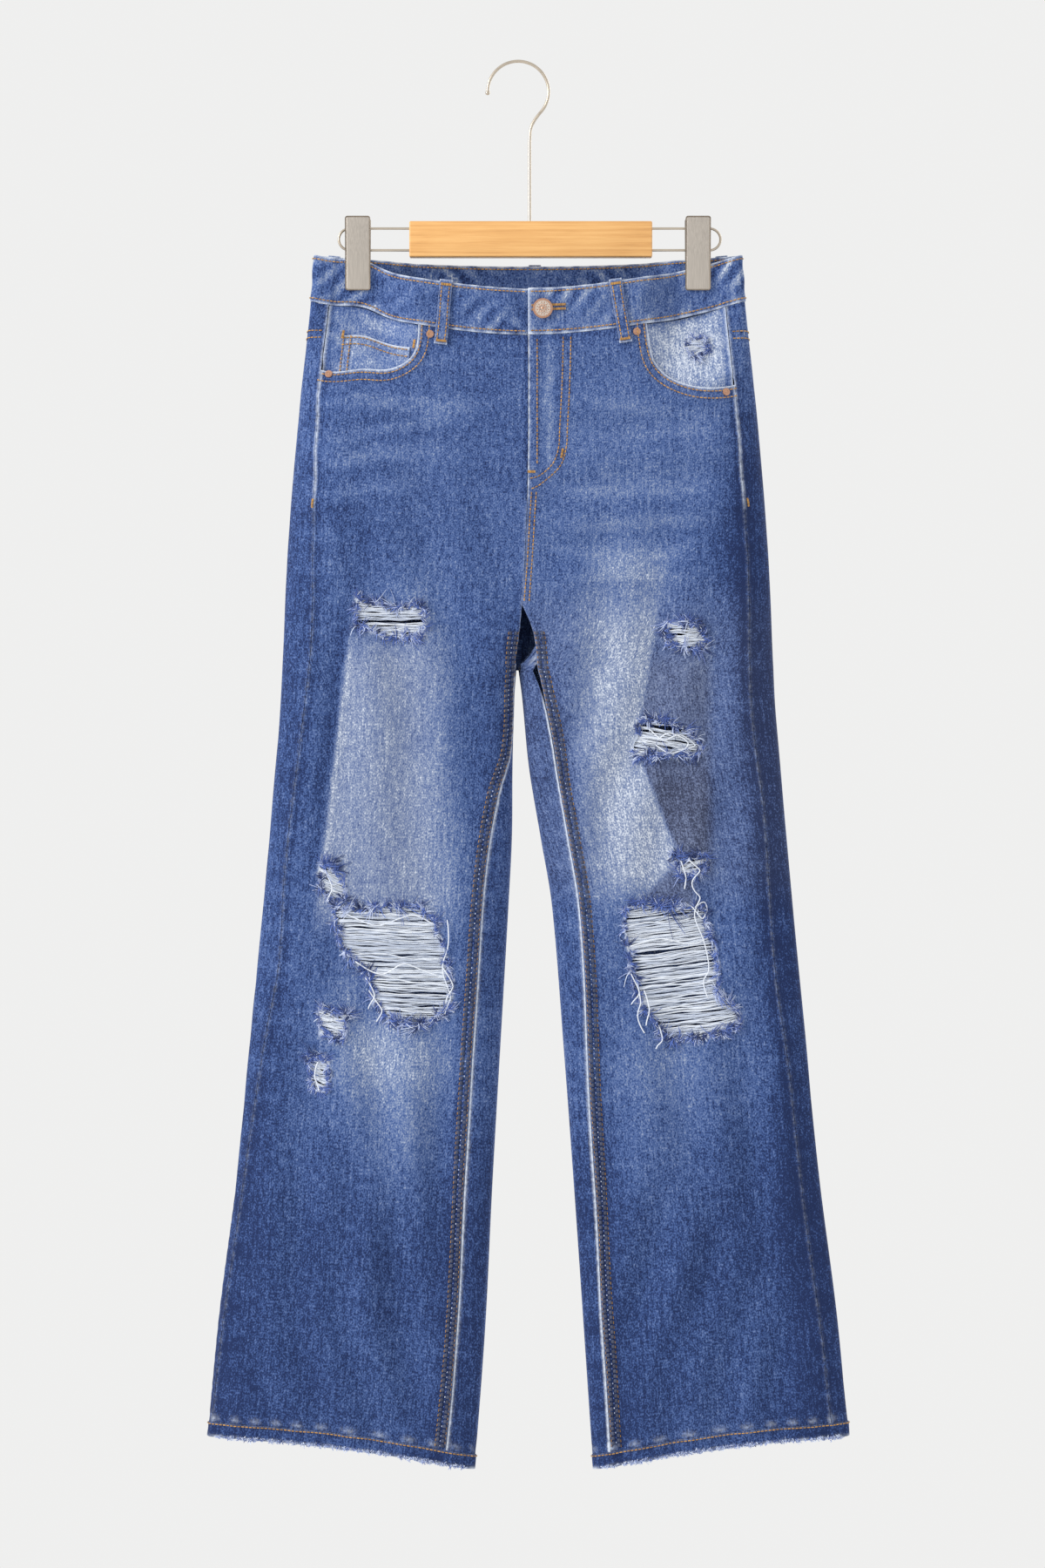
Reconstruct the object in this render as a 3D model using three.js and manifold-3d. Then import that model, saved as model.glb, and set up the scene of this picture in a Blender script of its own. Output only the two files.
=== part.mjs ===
// Ripped five-pocket jeans, hung by the waistband from a hanger with two clips.
// Millimetres, +Z up, the front faces -Y. The origin is the inside top of the hook, where a rod
// carries it. Left and right are the wearer's: the left leg is on the +X side.
import * as THREE from 'three';
import { mergeVertices } from 'three/addons/utils/BufferGeometryUtils.js';
import Module from 'manifold-3d';

const wasm = await Module();
wasm.setup();

// ---- Driving dimensions -------------------------------------------------------------------
const SEAM_GAP = 0.3;             // between pieces that a seam joins
const DENIM = 1.3;                // wall of one layer of cloth
const CENTRE_X = 8.5;             // middle of the garment, under the middle of the hanger
const WAIST_TOP = -167;           // the levels below are those of the side seams
const WAIST_BOTTOM = -207.5;
const BAND_THICKNESS = 2.6;       // folded denim
const CROTCH_FRONT = -472;        // where the front seams meet
const SADDLE = -525;              // lowest point of the seat seam, between the legs
const PANEL_BOTTOM = -1180;
const HEM_BOTTOM = -1193;
const HEM_TILT = 29;              // the inner end of a hem hangs this much lower
const FRONT_SAG = 31;             // dip of the front waist between the clips
const BACK_SAG = 8.5;
const CLIP_OFFSET = 147.8;        // from the garment's middle to each clip
const CLIP_WIDTH = 22;
const LEFT = 1;
const RIGHT = -1;

// Half width of the garment's outline about its middle, [height, half width].
const OUTER = along([[-150, 184], [-211, 188.5], [-310, 199], [-430, 208.7], [-551, 214.2],
  [-612, 219], [-732, 229.7], [-853, 241.5], [-974, 253.5], [-1095, 269], [-1230, 282]]);

// Inner fold of each leg below the saddle, [height, x].
const INNER = {
  [LEFT]: along([[SADDLE, 0.4], [-551, 4], [-612, 10], [-672, 20], [-732, 30], [-853, 40],
    [-974, 49], [-1095, 57.4], [-1230, 66.5]]),
  [RIGHT]: along([[SADDLE, -2], [-551, -4], [-612, -5.5], [-672, -6], [-732, -9], [-853, -16],
    [-974, -23], [-1095, -29], [-1230, -39]]),
};
const CENTRE_SEAM = along([[-150, 8.3], [-359, 8.3], [CROTCH_FRONT, 3.8], [SADDLE, -0.8]]);

// Both seams of a leg lie on its front face, this far in from the fold beside them.
const OUTSEAM_IN = {
  [LEFT]: along([[-150, 15], [-283, 17.6], [-452, 19.5], [-560, 21.8], [-647, 18.6], [-799, 21],
    [-880, 18], [-1109, 15.8], [-1230, 14]]),
  [RIGHT]: along([[-150, 16], [-267, 15.5], [-388, 21], [-490, 24.7], [-586, 20.5], [-698, 16.5],
    [-779, 19], [-847, 13.7], [-972, 7], [-1085, 5.3], [-1230, 3]]),
};
const INSEAM_IN = {
  [LEFT]: along([[CROTCH_FRONT, 0], [-500, 12], [-550, 19], [-605, 23.5], [-776, 23], [-912, 18.5],
    [-1230, 15]]),
  [RIGHT]: along([[CROTCH_FRONT, 0], [-521, 2], [-597, 2.5], [-637, 12.5], [-687, 20], [-758, 23],
    [-1080, 24], [-1230, 27]]),
};

// How far each face stands out from the middle plane, [height, depth].
const FRONT_DEPTH = along([[-150, 18], [-240, 23], [-360, 26], [-525, 22], [-800, 19], [-1230, 14]]);
const BACK_DEPTH = along([[-150, 9], [-240, 18], [-360, 27], [-525, 22], [-800, 18], [-1230, 14]]);
const ROUNDING = 48;              // reach of the round folds at the sides
const PINCHED = 2;                // middle of each waistband layer from the plane inside a clip

// The largest creases, [side, front or back, x1, z1, x2, z2, half width, height]; below 0 is a trough.
const FOLDS = [
  [RIGHT, true, -143, -468, -170, -690, 16, -4], [RIGHT, true, -118, -860, -150, -1150, 22, 4],
  [RIGHT, true, -70, -900, -92, -1180, 20, -4], [LEFT, true, 165, -480, 178, -700, 16, -4],
  [LEFT, true, 120, -880, 150, -1160, 22, 4], [LEFT, true, 205, -900, 226, -1170, 20, -4],
  [RIGHT, false, -60, -560, -150, -640, 18, -4], [LEFT, false, 75, -560, 165, -640, 18, -4],
  [RIGHT, false, -130, -800, -170, -1120, 22, -4], [LEFT, false, 145, -800, 185, -1120, 22, -4],
];

// ---- Colours ------------------------------------------------------------------------------
const finish = (color, roughness, metalness = 0) =>
  new THREE.MeshStandardMaterial({ color, roughness, metalness });
const denim = finish(0x4a69a5, 0.9);
const paleDenim = finish(0x8ba0c4, 0.9);
const thread = finish(0xe8ebf0, 0.95);
const zipTape = finish(0x2c3a5c, 0.9);
const copper = finish(0xb87a55, 0.35, 0.9);
const steel = finish(0xb9b5ae, 0.35, 0.8);
const wood = finish(0xe3a75c, 0.5);

// ---- The garment's surface ----------------------------------------------------------------
const { clamp, lerp } = THREE.MathUtils;

function along(stations) {
  // A smooth value over the height, through [height, value] stations listed from the top down.
  const slopes = stations.map((station, i) => {
    const before = stations[Math.max(i - 1, 0)];
    const after = stations[Math.min(i + 1, stations.length - 1)];
    return (after[1] - before[1]) / (after[0] - before[0]);
  });
  return (height) => {
    const z = Math.min(Math.max(height, stations.at(-1)[0]), stations[0][0]);
    let i = 0;
    while (i < stations.length - 2 && z < stations[i + 1][0]) i += 1;
    const [z0, v0] = stations[i];
    const [z1, v1] = stations[i + 1];
    const span = z1 - z0;
    const t = (z - z0) / span;
    return v0 * (1 + 2 * t) * (1 - t) ** 2 + slopes[i] * span * t * (1 - t) ** 2
      + v1 * t * t * (3 - 2 * t) + slopes[i + 1] * span * t * t * (t - 1);
  };
}

function ease(from, to, x) {
  const t = clamp((x - from) / (to - from), 0, 1);
  return t * t * (3 - 2 * t);
}

// 0 where the two halves close into separate legs, 1 where they are open to each other.
const openness = (z) => Math.sqrt(1 - (1 - clamp((z - SADDLE) / 110, 0, 1)) ** 2);

function innerEdge(side, z) {
  if (z <= SADDLE) return INNER[side](z);
  const clearance = SEAM_GAP / 2 + 1.2 * (1 - openness(z));
  return CENTRE_SEAM(z) + side * clearance;
}
const outerEdge = (side, z) => CENTRE_X + side * OUTER(z);

function dip(side, front, share, level) {
  // How far the cloth hangs below its level: the waist between the clips, and the tilted hem.
  const x = lerp(innerEdge(side, level), outerEdge(side, level), share);
  const out = Math.min(Math.abs(x - CENTRE_X) / OUTER(level), 1);
  const fromWaist = 1 - ease(-230, -470, level);
  const heldUp = side === RIGHT ? 7 * Math.exp(-(((x + 135) / 22) ** 2)) : 0;
  const waist = front ? FRONT_SAG * (1 - out ** 1.8) - heldUp : BACK_SAG * (1 - out ** 2);
  const arch = front ? 5 * Math.sin(Math.PI * share) : 0;
  const hem = ease(-850, HEM_BOTTOM, level) * (HEM_TILT * (1 - share) - arch);
  return waist * fromWaist + hem;
}

function crease(side, front, x, z) {
  let height = 0;
  for (const [foldSide, foldFront, x1, z1, x2, z2, halfWidth, rise] of FOLDS) {
    if (foldSide !== side || foldFront !== front) continue;
    const length = Math.hypot(x2 - x1, z2 - z1);
    const run = ((x - x1) * (x2 - x1) + (z - z1) * (z2 - z1)) / length;
    const off = ((x - x1) * (z2 - z1) - (z - z1) * (x2 - x1)) / length;
    const taper = ease(-0.15, 0.25, run / length) * (1 - ease(0.75, 1.15, run / length));
    height += rise * taper * Math.exp(-((off / halfWidth) ** 2));
  }
  return height;
}

function surface(side, front, share, level) {
  // A point of the cloth's middle: share runs across a leg, 0 at the inner fold, 1 at the outer.
  const z = level - dip(side, front, share, level);
  const inner = innerEdge(side, z);
  const outer = outerEdge(side, z);
  const x = lerp(inner, outer, share);
  const width = Math.abs(outer - inner);
  const end = (distance) => {
    const reach = clamp(distance / Math.min(ROUNDING, width / 2), 0, 1);
    return Math.sqrt(1 - (1 - reach) ** 2);
  };
  const innerEnd = lerp(end(share * width), 1, openness(z));
  const round = end((1 - share) * width) * innerEnd;
  const away = Math.abs(x - (CENTRE_X + side * CLIP_OFFSET));
  const free = 1 - (1 - ease(17, 54, away)) * (1 - ease(-200, -300, z));
  const full = ((front ? FRONT_DEPTH : BACK_DEPTH)(z) + crease(side, front, x, z)) * round;
  const depth = lerp(Math.min(full, PINCHED), full, free);
  return new THREE.Vector3(x, front ? -depth : depth, z);
}

const SAMPLES = 48;               // points along each face of a section
const sections = new Map();
function section(side, level) {
  // The cloth at one level: from the inner end over the front to the outer fold, and back behind.
  const key = `${side} ${level.toFixed(3)}`;
  if (!sections.has(key)) {
    const points = [];
    for (let i = 0; i <= 2 * SAMPLES; i += 1) {
      const step = Math.min(i, 2 * SAMPLES - i);
      const share = (1 - Math.cos((Math.PI * step) / SAMPLES)) / 2;
      points.push(surface(side, i <= SAMPLES, share, level));
    }
    const lengths = [0];
    for (let i = 1; i < points.length; i += 1) {
      lengths.push(lengths[i - 1] + points[i].distanceTo(points[i - 1]));
    }
    sections.set(key, { points, lengths });
  }
  return sections.get(key);
}

function girth(side, level) {
  return section(side, level).lengths.at(-1);
}

function frontLength(side, level, share) {
  // Length along the cloth from the inner end to a share of the front face.
  const { lengths } = section(side, level);
  const step = (Math.acos(1 - 2 * clamp(share, 0, 1)) * SAMPLES) / Math.PI;
  const i = Math.min(Math.floor(step), SAMPLES - 1);
  return lerp(lengths[i], lengths[i + 1], step - i);
}

function onSection(side, level, length) {
  const { points, lengths } = section(side, level);
  const target = clamp(length, 0, lengths.at(-1));
  let i = 1;
  while (i < lengths.length - 1 && lengths[i] < target) i += 1;
  const t = (target - lengths[i - 1]) / (lengths[i] - lengths[i - 1]);
  return points[i - 1].clone().lerp(points[i], t);
}

function point(side, level, length, lift = 0) {
  // The point this length along the section, moved out from the cloth by lift, and its normal.
  const around = onSection(side, level, length + 2).sub(onSection(side, level, length - 2));
  const up = onSection(side, level + 1, length).sub(onSection(side, level - 1, length));
  const normal = around.cross(up).multiplyScalar(side).normalize();
  return { position: onSection(side, level, length).addScaledVector(normal, lift), normal };
}

function outseam(side, level) {
  const width = Math.abs(outerEdge(side, level) - innerEdge(side, level));
  return frontLength(side, level, 1 - OUTSEAM_IN[side](level) / width);
}

function inseam(side, level) {
  if (level >= CROTCH_FRONT) return 0;
  const width = Math.abs(outerEdge(side, level) - innerEdge(side, level));
  return frontLength(side, level, INSEAM_IN[side](level) / width);
}

function frontSpot(side, x, z) {
  // The place on the front with this x and z, as a level and a length along its section.
  let level = z;
  let share = 0;
  for (let i = 0; i < 8; i += 1) {
    share = clamp((x - innerEdge(side, z)) / (outerEdge(side, z) - innerEdge(side, z)), 0, 1);
    level = z + dip(side, true, share, level);
  }
  return { level, length: frontLength(side, level, share) };
}

// ---- Walls of cloth -----------------------------------------------------------------------
function wall(grids, thickness, flip) {
  // Grids of points, joined where their edges meet, thickened equally to both sides.
  const points = [];
  const normals = [];
  const known = new Map();
  const triangles = [];
  const id = ({ position, normal }) => {
    const key = position.toArray().map((v) => Math.round(v * 100)).join(' ');
    if (!known.has(key)) {
      known.set(key, points.length);
      points.push(position);
      normals.push(new THREE.Vector3());
    }
    normals[known.get(key)].add(normal);
    return known.get(key);
  };
  const triangle = (a, b, c) => {
    if (a === b || b === c || a === c) return;
    triangles.push(flip ? [a, c, b] : [a, b, c]);
  };
  for (const grid of grids) {
    const ids = grid.map((row) => row.map(id));
    for (let r = 1; r < ids.length; r += 1) {
      for (let c = 1; c < ids[r].length; c += 1) {
        triangle(ids[r - 1][c - 1], ids[r][c - 1], ids[r - 1][c]);
        triangle(ids[r - 1][c], ids[r][c - 1], ids[r][c]);
      }
    }
  }
  const edges = new Set();
  for (const [a, b, c] of triangles) {
    for (const [from, to] of [[a, b], [b, c], [c, a]]) edges.add(`${from} ${to}`);
  }
  const positions = [];
  for (const offset of [thickness / 2, -thickness / 2]) {
    points.forEach((p, i) => {
      positions.push(...p.clone().addScaledVector(normals[i].normalize(), offset).toArray());
    });
  }
  const n = points.length;
  const index = [];
  for (const [a, b, c] of triangles) index.push(a, b, c, a + n, c + n, b + n);
  for (const edge of edges) {
    const [a, b] = edge.split(' ').map(Number);
    if (!edges.has(`${b} ${a}`)) index.push(a, a + n, b, b, a + n, b + n);
  }
  const geometry = new THREE.BufferGeometry();
  geometry.setAttribute('position', new THREE.Float32BufferAttribute(positions, 3));
  geometry.setIndex(index);
  return geometry;
}

const steps = (count) => Array.from({ length: count + 1 }, (_, i) => i / count);

function patch(side, { columns, rows, levelAt, lengthAt, lift = 0, thickness = DENIM }) {
  // A piece on one half: rows run down, columns run away from the centre seam or inseam.
  const grid = steps(rows).map((v) => steps(columns).map((u) => {
    const level = levelAt(u, v);
    return point(side, level, lengthAt(u, level), lift);
  }));
  return wall([grid], thickness, side === RIGHT);
}

// ---- Booleans -----------------------------------------------------------------------------
function solid(geometry) {
  const bare = geometry.clone();
  bare.deleteAttribute('normal');
  bare.deleteAttribute('uv');
  const merged = mergeVertices(bare, 1e-4);
  return new wasm.Manifold(new wasm.Mesh({
    numProp: 3,
    vertProperties: Float32Array.from(merged.attributes.position.array),
    triVerts: Uint32Array.from(merged.index.array),
  }));
}

function geometryOf(manifold) {
  const mesh = manifold.getMesh();
  const geometry = new THREE.BufferGeometry();
  geometry.setAttribute('position', new THREE.BufferAttribute(mesh.vertProperties, 3));
  geometry.setIndex(new THREE.BufferAttribute(mesh.triVerts, 1));
  return geometry;
}

function frontPrism(outline) {
  // A cutter with this x, z outline, through the front of the garment only.
  const shape = new THREE.Shape(outline.map(([x, z]) => new THREE.Vector2(x, z)));
  const geometry = new THREE.ExtrudeGeometry(shape, { depth: 90, bevelEnabled: false });
  return geometry.rotateX(Math.PI / 2);
}

function shrunk(outline, margin) {
  // The same outline, its points moved in towards the middle by the margin.
  const points = outline.map(([x, z]) => new THREE.Vector2(x, z));
  const middle = new THREE.Vector2();
  for (const p of points) middle.addScaledVector(p, 1 / points.length);
  return points.map((p) => {
    const inward = middle.clone().sub(p);
    return p.clone().addScaledVector(inward.normalize(), margin).toArray();
  });
}

// ---- The rips: outlines on the front, [x, z] ------------------------------------------------
const RIPS = {
  [RIGHT]: {
    thigh: [[-140, -464], [-120, -471], [-82, -472], [-81, -499], [-106, -501], [-126, -495],
      [-141, -488]],
    knee: [[-160, -731], [-117, -732], [-85, -733], [-69, -744], [-66, -767], [-57, -793],
      [-57, -821], [-90, -836], [-114, -830], [-126, -800], [-147, -776], [-158, -752]],
  },
  [LEFT]: {
    thigh: [[106, -573], [121, -570], [140, -576], [159, -592], [157, -603], [132, -601],
      [103, -603], [100, -592]],
    knee: [[93, -735], [120, -728], [159, -734], [168, -760], [173, -790], [174, -808], [191, -820],
      [192, -838], [160, -843], [126, -849], [111, -830], [99, -797]],
  },
};

// ---- Cloth pieces -------------------------------------------------------------------------
const POCKET = {                  // where the mouth starts across the front, and how deep it is
  [LEFT]: { from: 0.578, depth: 70, bow: 0.45 },
  [RIGHT]: { from: 0.522, depth: 57.5, bow: 0.39 },
};
const YOKE_SIDE = 21;             // depth of the yoke at the side seam
const YOKE_CENTRE = 68;           // and at the centre of the back
const yokeSeam = (u) => WAIST_BOTTOM - lerp(YOKE_SIDE, YOKE_CENTRE, u);
const half = SEAM_GAP / 2;

const FAN_ROWS = 4;               // rows that fan out from a panel's shaped top
const LAST_HIP = -430;            // the last row above the crotch that runs level
const HIP_LEVELS = [-290, -335, -385, LAST_HIP, CROTCH_FRONT, -498, SADDLE];
const LEG_LEVELS = [SADDLE, -548, -575, -605, -640, -680, -720, -765, -810, -855, -900, -945, -990,
  -1035, -1080, -1130, PANEL_BOTTOM + half];

function panelLevels(topAt) {
  // Levels down a panel: the first rows fan out from its shaped top, the rest are straight.
  const rows = steps(FAN_ROWS).slice(0, -1).map((v) => (u) => lerp(topAt(u), HIP_LEVELS[0], v));
  return rows.concat([...HIP_LEVELS, ...LEG_LEVELS.slice(1)].map((level) => () => level));
}

function seamLevel(level) {
  // Where a row at this level meets the inseam: higher near the crotch, which the seams rise to.
  if (level >= LAST_HIP) return level;
  if (level >= SADDLE) {
    return lerp(LAST_HIP, CROTCH_FRONT, (LAST_HIP - level) / (LAST_HIP - SADDLE));
  }
  return level + (CROTCH_FRONT - SADDLE) * clamp(1 - (SADDLE - level) / 130, 0, 1) ** 2;
}

function frontWall(side, thickness) {
  const rows = panelLevels(() => WAIST_BOTTOM - SEAM_GAP);
  const grid = rows.map((levelAt) => steps(11).map((u) => {
    const level = lerp(seamLevel(levelAt(u)), levelAt(u), u);
    const from = level >= CROTCH_FRONT ? 0 : inseam(side, level) + half;
    return point(side, level, lerp(from, outseam(side, level) - half, u));
  }));
  return wall([grid], thickness, side === RIGHT);
}

function pocketMouth(side) {
  // Outline of what the pocket mouth leaves out of the front panel, up past its top.
  const { from, depth, bow } = POCKET[side];
  const outline = steps(14).map((q) => {
    const across = q ** 1.6;
    const level = WAIST_BOTTOM - depth * (1 - (1 - across) ** 2.2) ** bow;
    const length = lerp(from, 1, across) * outseam(side, level);
    const { x, z } = onSection(side, level, length);
    return [x, z];
  });
  const beyond = outerEdge(side, WAIST_BOTTOM) + side * 30;
  return [...outline, [beyond, outline.at(-1)[1]], [beyond, WAIST_TOP], [outline[0][0], WAIST_TOP]];
}

function frontPanel(side) {
  let panel = solid(frontWall(side, DENIM)).subtract(solid(frontPrism(pocketMouth(side))));
  for (const outline of Object.values(RIPS[side])) {
    panel = panel.subtract(solid(frontPrism(outline)));
  }
  return geometryOf(panel);
}

function ripThreads(side, outline) {
  // The crosswise threads left in a rip, as one thin sheet in the panel's own surface.
  const sheet = solid(frontWall(side, 0.6)).intersect(solid(frontPrism(shrunk(outline, 0.5))));
  return geometryOf(sheet);
}

function backPanel(side) {
  const outer = (level) => outseam(side, level) + half;
  const across = (u, level) => lerp(outer(level), girth(side, level), u);
  const seatRows = panelLevels((u) => yokeSeam(u) - SEAM_GAP);
  const seat = seatRows.slice(0, FAN_ROWS + HIP_LEVELS.length).map((levelAt) => steps(11).map((u) => {
    const level = levelAt(u);
    return point(side, level, across(u, level));
  }));
  const leg = LEG_LEVELS.map((level) => {
    const behind = steps(11).map((u) => point(side, level, across(u, level)));
    const end = Math.max(inseam(side, seamLevel(level)) - half, 0);
    const wrapped = steps(3).slice(1).map((u) => (
      point(side, lerp(level, seamLevel(level), u), end * u)));
    return [...behind, ...wrapped];
  });
  return wall([seat, leg], DENIM, side === RIGHT);
}

function yoke(side) {
  return patch(side, {
    columns: 11,
    rows: 3,
    levelAt: (u, v) => lerp(WAIST_BOTTOM - SEAM_GAP, yokeSeam(u), v),
    lengthAt: (u, level) => lerp(outseam(side, level) + half, girth(side, level), u),
  });
}

function waistband() {
  // One strip: from the left front edge round the back, its right end passing under the left.
  const underlap = 34;
  const rows = steps(3).map((v) => {
    const level = lerp(WAIST_TOP, WAIST_BOTTOM, v);
    const leftHalf = steps(32).map((u) => point(LEFT, level, u * girth(LEFT, level)));
    const rightHalf = steps(30).map((u) => point(RIGHT, level, lerp(girth(RIGHT, level), 20, u)));
    const under = [
      point(RIGHT, level, 10, -1.6),
      point(RIGHT, level, 3, -3.4),
      point(LEFT, level, underlap / 2, -3.6),
      point(LEFT, level, underlap, -3.6),
    ];
    const centre = leftHalf.pop();
    centre.position.lerp(rightHalf.shift().position, 0.5);
    return [...leftHalf, centre, ...rightHalf, ...under];
  });
  return wall([rows], BAND_THICKNESS, false);
}

function hem(side) {
  return patch(side, {
    columns: 22,
    rows: 1,
    thickness: 2.6,
    levelAt: (u, v) => lerp(PANEL_BOTTOM - half, HEM_BOTTOM, v),
    lengthAt: (u, level) => u * girth(side, level),
  });
}

function pocketFacing(side) {
  const { from, depth } = POCKET[side];
  return patch(side, {
    columns: 8,
    rows: 6,
    lift: -3.8,
    thickness: 1.2,
    levelAt: (u, v) => lerp(WAIST_BOTTOM - SEAM_GAP, WAIST_BOTTOM - depth - 14, v),
    lengthAt: (u, level) => lerp(from - 0.1, 1, u) * (outseam(side, level) - 1),
  });
}

function coinPocket() {
  return patch(RIGHT, {
    columns: 6,
    rows: 4,
    lift: -2.3,
    thickness: 1,
    levelAt: (u, v) => lerp(lerp(-228, -233, u), -276, v),
    lengthAt: (u, level) => outseam(RIGHT, level) - lerp(78, 14, u),
  });
}

function backPocket(side) {
  const point0 = 16;              // how far the pointed bottom drops
  const [top, width, height] = [-298, 130, 145];
  return patch(side, {
    columns: 6,
    rows: 5,
    lift: 1.9,
    thickness: 1.2,
    levelAt: (u, v) => top + 14 * (1 - u) - v * (height - point0 * Math.abs(2 * u - 1)),
    lengthAt: (u, level) => girth(side, level) - lerp(28 + width, 28 + 0.06 * (top - level), u),
  });
}

function beltLoop(side, lengthAt) {
  return patch(side, {
    columns: 1,
    rows: 3,
    lift: 2.5,
    thickness: 1.6,
    levelAt: (u, v) => lerp(WAIST_TOP + 1.5, WAIST_BOTTOM - 14, v),
    lengthAt: (u, level) => lengthAt(level) + lerp(-5.5, 5.5, u),
  });
}

function flyPiece(columns, from, to, depth, bottom, thickness) {
  // A strip behind the fly, between two distances from the overlap's edge.
  const grid = steps(7).map((v) => steps(columns).map((u) => {
    const level = lerp(WAIST_BOTTOM - SEAM_GAP, bottom, v);
    const distance = lerp(from, to, u);
    const side = distance < 0 ? RIGHT : LEFT;
    return point(side, level, Math.abs(distance), -depth);
  }));
  return wall([grid], thickness, false);
}

// ---- Hard pieces on the garment -------------------------------------------------------------
function lathe(profile, segments = 20) {
  const points = profile.map(([r, h]) => new THREE.Vector2(r, h));
  return new THREE.LatheGeometry(points, segments).rotateX(Math.PI);
}

function standOn(mesh, side, x, z, lift) {
  // Seats a piece whose own axis is -Y on the front of the garment, square to the cloth.
  const { level, length } = frontSpot(side, x, z);
  const { position, normal } = point(side, level, length, lift);
  mesh.position.copy(position);
  mesh.quaternion.setFromUnitVectors(new THREE.Vector3(0, -1, 0), normal);
}

// ---- The hanger -----------------------------------------------------------------------------
const HOOK_WIRE = 1.7;            // radius
const HOOK_RADIUS = 26.5;         // of the wire's centre line
const STEM_X = 10;
const BAR = { x0: -94.5, x1: 116.5, top: -138, bottom: -169, depth: 14 };
const LOOP = { x0: -156, x1: 176, top: -143.8, bottom: -162.7, wire: 1.2 };
const JAW = { top: -134, bend: -168, bottom: -198, thickness: 1.4, grip: 3.7, spread: 9 };

function wire(points, radius, closed) {
  // A round wire along x, z points: an extrusion, or a ring of sections where it closes.
  const path = points.map(([x, z]) => new THREE.Vector3(x, 0, z));
  const sides = 10;
  const count = path.length;
  const positions = [];
  const index = [];
  path.forEach((p, i) => {
    const before = path[closed ? (i + count - 1) % count : Math.max(i - 1, 0)];
    const after = path[closed ? (i + 1) % count : Math.min(i + 1, count - 1)];
    const tangent = after.clone().sub(before).normalize();
    const across = new THREE.Vector3(-tangent.z, 0, tangent.x);
    for (let k = 0; k < sides; k += 1) {
      const angle = (2 * Math.PI * k) / sides;
      const q = p.clone().addScaledVector(across, radius * Math.cos(angle));
      positions.push(q.x, radius * Math.sin(angle), q.z);
    }
  });
  const rings = closed ? count : count - 1;
  for (let i = 0; i < rings; i += 1) {
    for (let k = 0; k < sides; k += 1) {
      const [a, b] = [i * sides + k, i * sides + ((k + 1) % sides)];
      const [c, d] = [((i + 1) % count) * sides + k, ((i + 1) % count) * sides + ((k + 1) % sides)];
      index.push(a, c, b, b, c, d);
    }
  }
  if (!closed) {
    for (let k = 1; k < sides - 1; k += 1) {
      index.push(0, k, k + 1);
      const last = (count - 1) * sides;
      index.push(last, last + k + 1, last + k);
    }
  }
  const geometry = new THREE.BufferGeometry();
  geometry.setAttribute('position', new THREE.Float32BufferAttribute(positions, 3));
  geometry.setIndex(index);
  return geometry;
}

function arc(x, z, radius, from, to, count) {
  // Points on a circle, angles in degrees from +X towards +Z.
  return steps(count).map((t) => {
    const angle = THREE.MathUtils.degToRad(lerp(from, to, t));
    return [x + radius * Math.cos(angle), z + radius * Math.sin(angle)];
  });
}

function hookPoints() {
  const circle = arc(0, HOOK_WIRE - HOOK_RADIUS, HOOK_RADIUS, 182, -44, 22);
  return [...circle, [15.4, -48], [12.2, -53.5], [10.4, -60], [STEM_X, -70],
    [STEM_X, BAR.top + SEAM_GAP]];
}

function loopPoints() {
  const z = (LOOP.top + LOOP.bottom) / 2;
  const r = (LOOP.top - LOOP.bottom) / 2;
  return [...arc(LOOP.x1 - r, z, r, 90, -90, 8), ...arc(LOOP.x0 + r, z, r, 270, 90, 8)];
}

function woodenBar() {
  const middle = (BAR.top + BAR.bottom) / 2;
  const block = new THREE.ExtrudeGeometry(roundedRectangle(BAR.x1 - BAR.x0 - 2, 29, 1.5), {
    depth: BAR.depth - 2, bevelSize: 1, bevelThickness: 1, bevelSegments: 2, curveSegments: 3,
  });
  block.rotateX(Math.PI / 2).translate((BAR.x0 + BAR.x1) / 2, BAR.depth / 2 - 1, middle);
  let bar = solid(block);
  for (const z of [LOOP.top, LOOP.bottom]) {
    const bore = new THREE.CylinderGeometry(LOOP.wire + 0.3, LOOP.wire + 0.3, 300, 12);
    bar = bar.subtract(solid(bore.rotateZ(Math.PI / 2).translate(STEM_X, 0, z)));
  }
  return geometryOf(bar);
}

function roundedRectangle(width, height, radius) {
  const shape = new THREE.Shape();
  const [x, y] = [width / 2 - radius, height / 2 - radius];
  shape.absarc(x, y, radius, 0, Math.PI / 2);
  shape.absarc(-x, y, radius, Math.PI / 2, Math.PI);
  shape.absarc(-x, -y, radius, Math.PI, 1.5 * Math.PI);
  shape.absarc(x, -y, radius, 1.5 * Math.PI, 2 * Math.PI);
  return shape;
}

function clipJaw() {
  // The front jaw about x = 0: a bent plate that grips below and spreads above, corners rounded.
  const { top, bend, bottom, thickness, grip, spread } = JAW;
  const profile = new THREE.Shape([
    new THREE.Vector2(-grip, bottom), new THREE.Vector2(-grip, bend),
    new THREE.Vector2(-spread, top), new THREE.Vector2(-spread - thickness, top),
    new THREE.Vector2(-grip - thickness, bend), new THREE.Vector2(-grip - thickness, bottom),
  ]);
  const plate = new THREE.ExtrudeGeometry(profile, { depth: CLIP_WIDTH, bevelEnabled: false });
  plate.rotateX(Math.PI / 2).rotateZ(Math.PI / 2).translate(-CLIP_WIDTH / 2, 0, 0);
  const face = roundedRectangle(CLIP_WIDTH, top - bottom, 1.8);
  const outline = new THREE.ExtrudeGeometry(face, { depth: 40, bevelEnabled: false, curveSegments: 4 });
  outline.rotateX(Math.PI / 2).translate(0, 10, (top + bottom) / 2);
  return geometryOf(solid(plate).intersect(solid(outline)));
}

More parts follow.
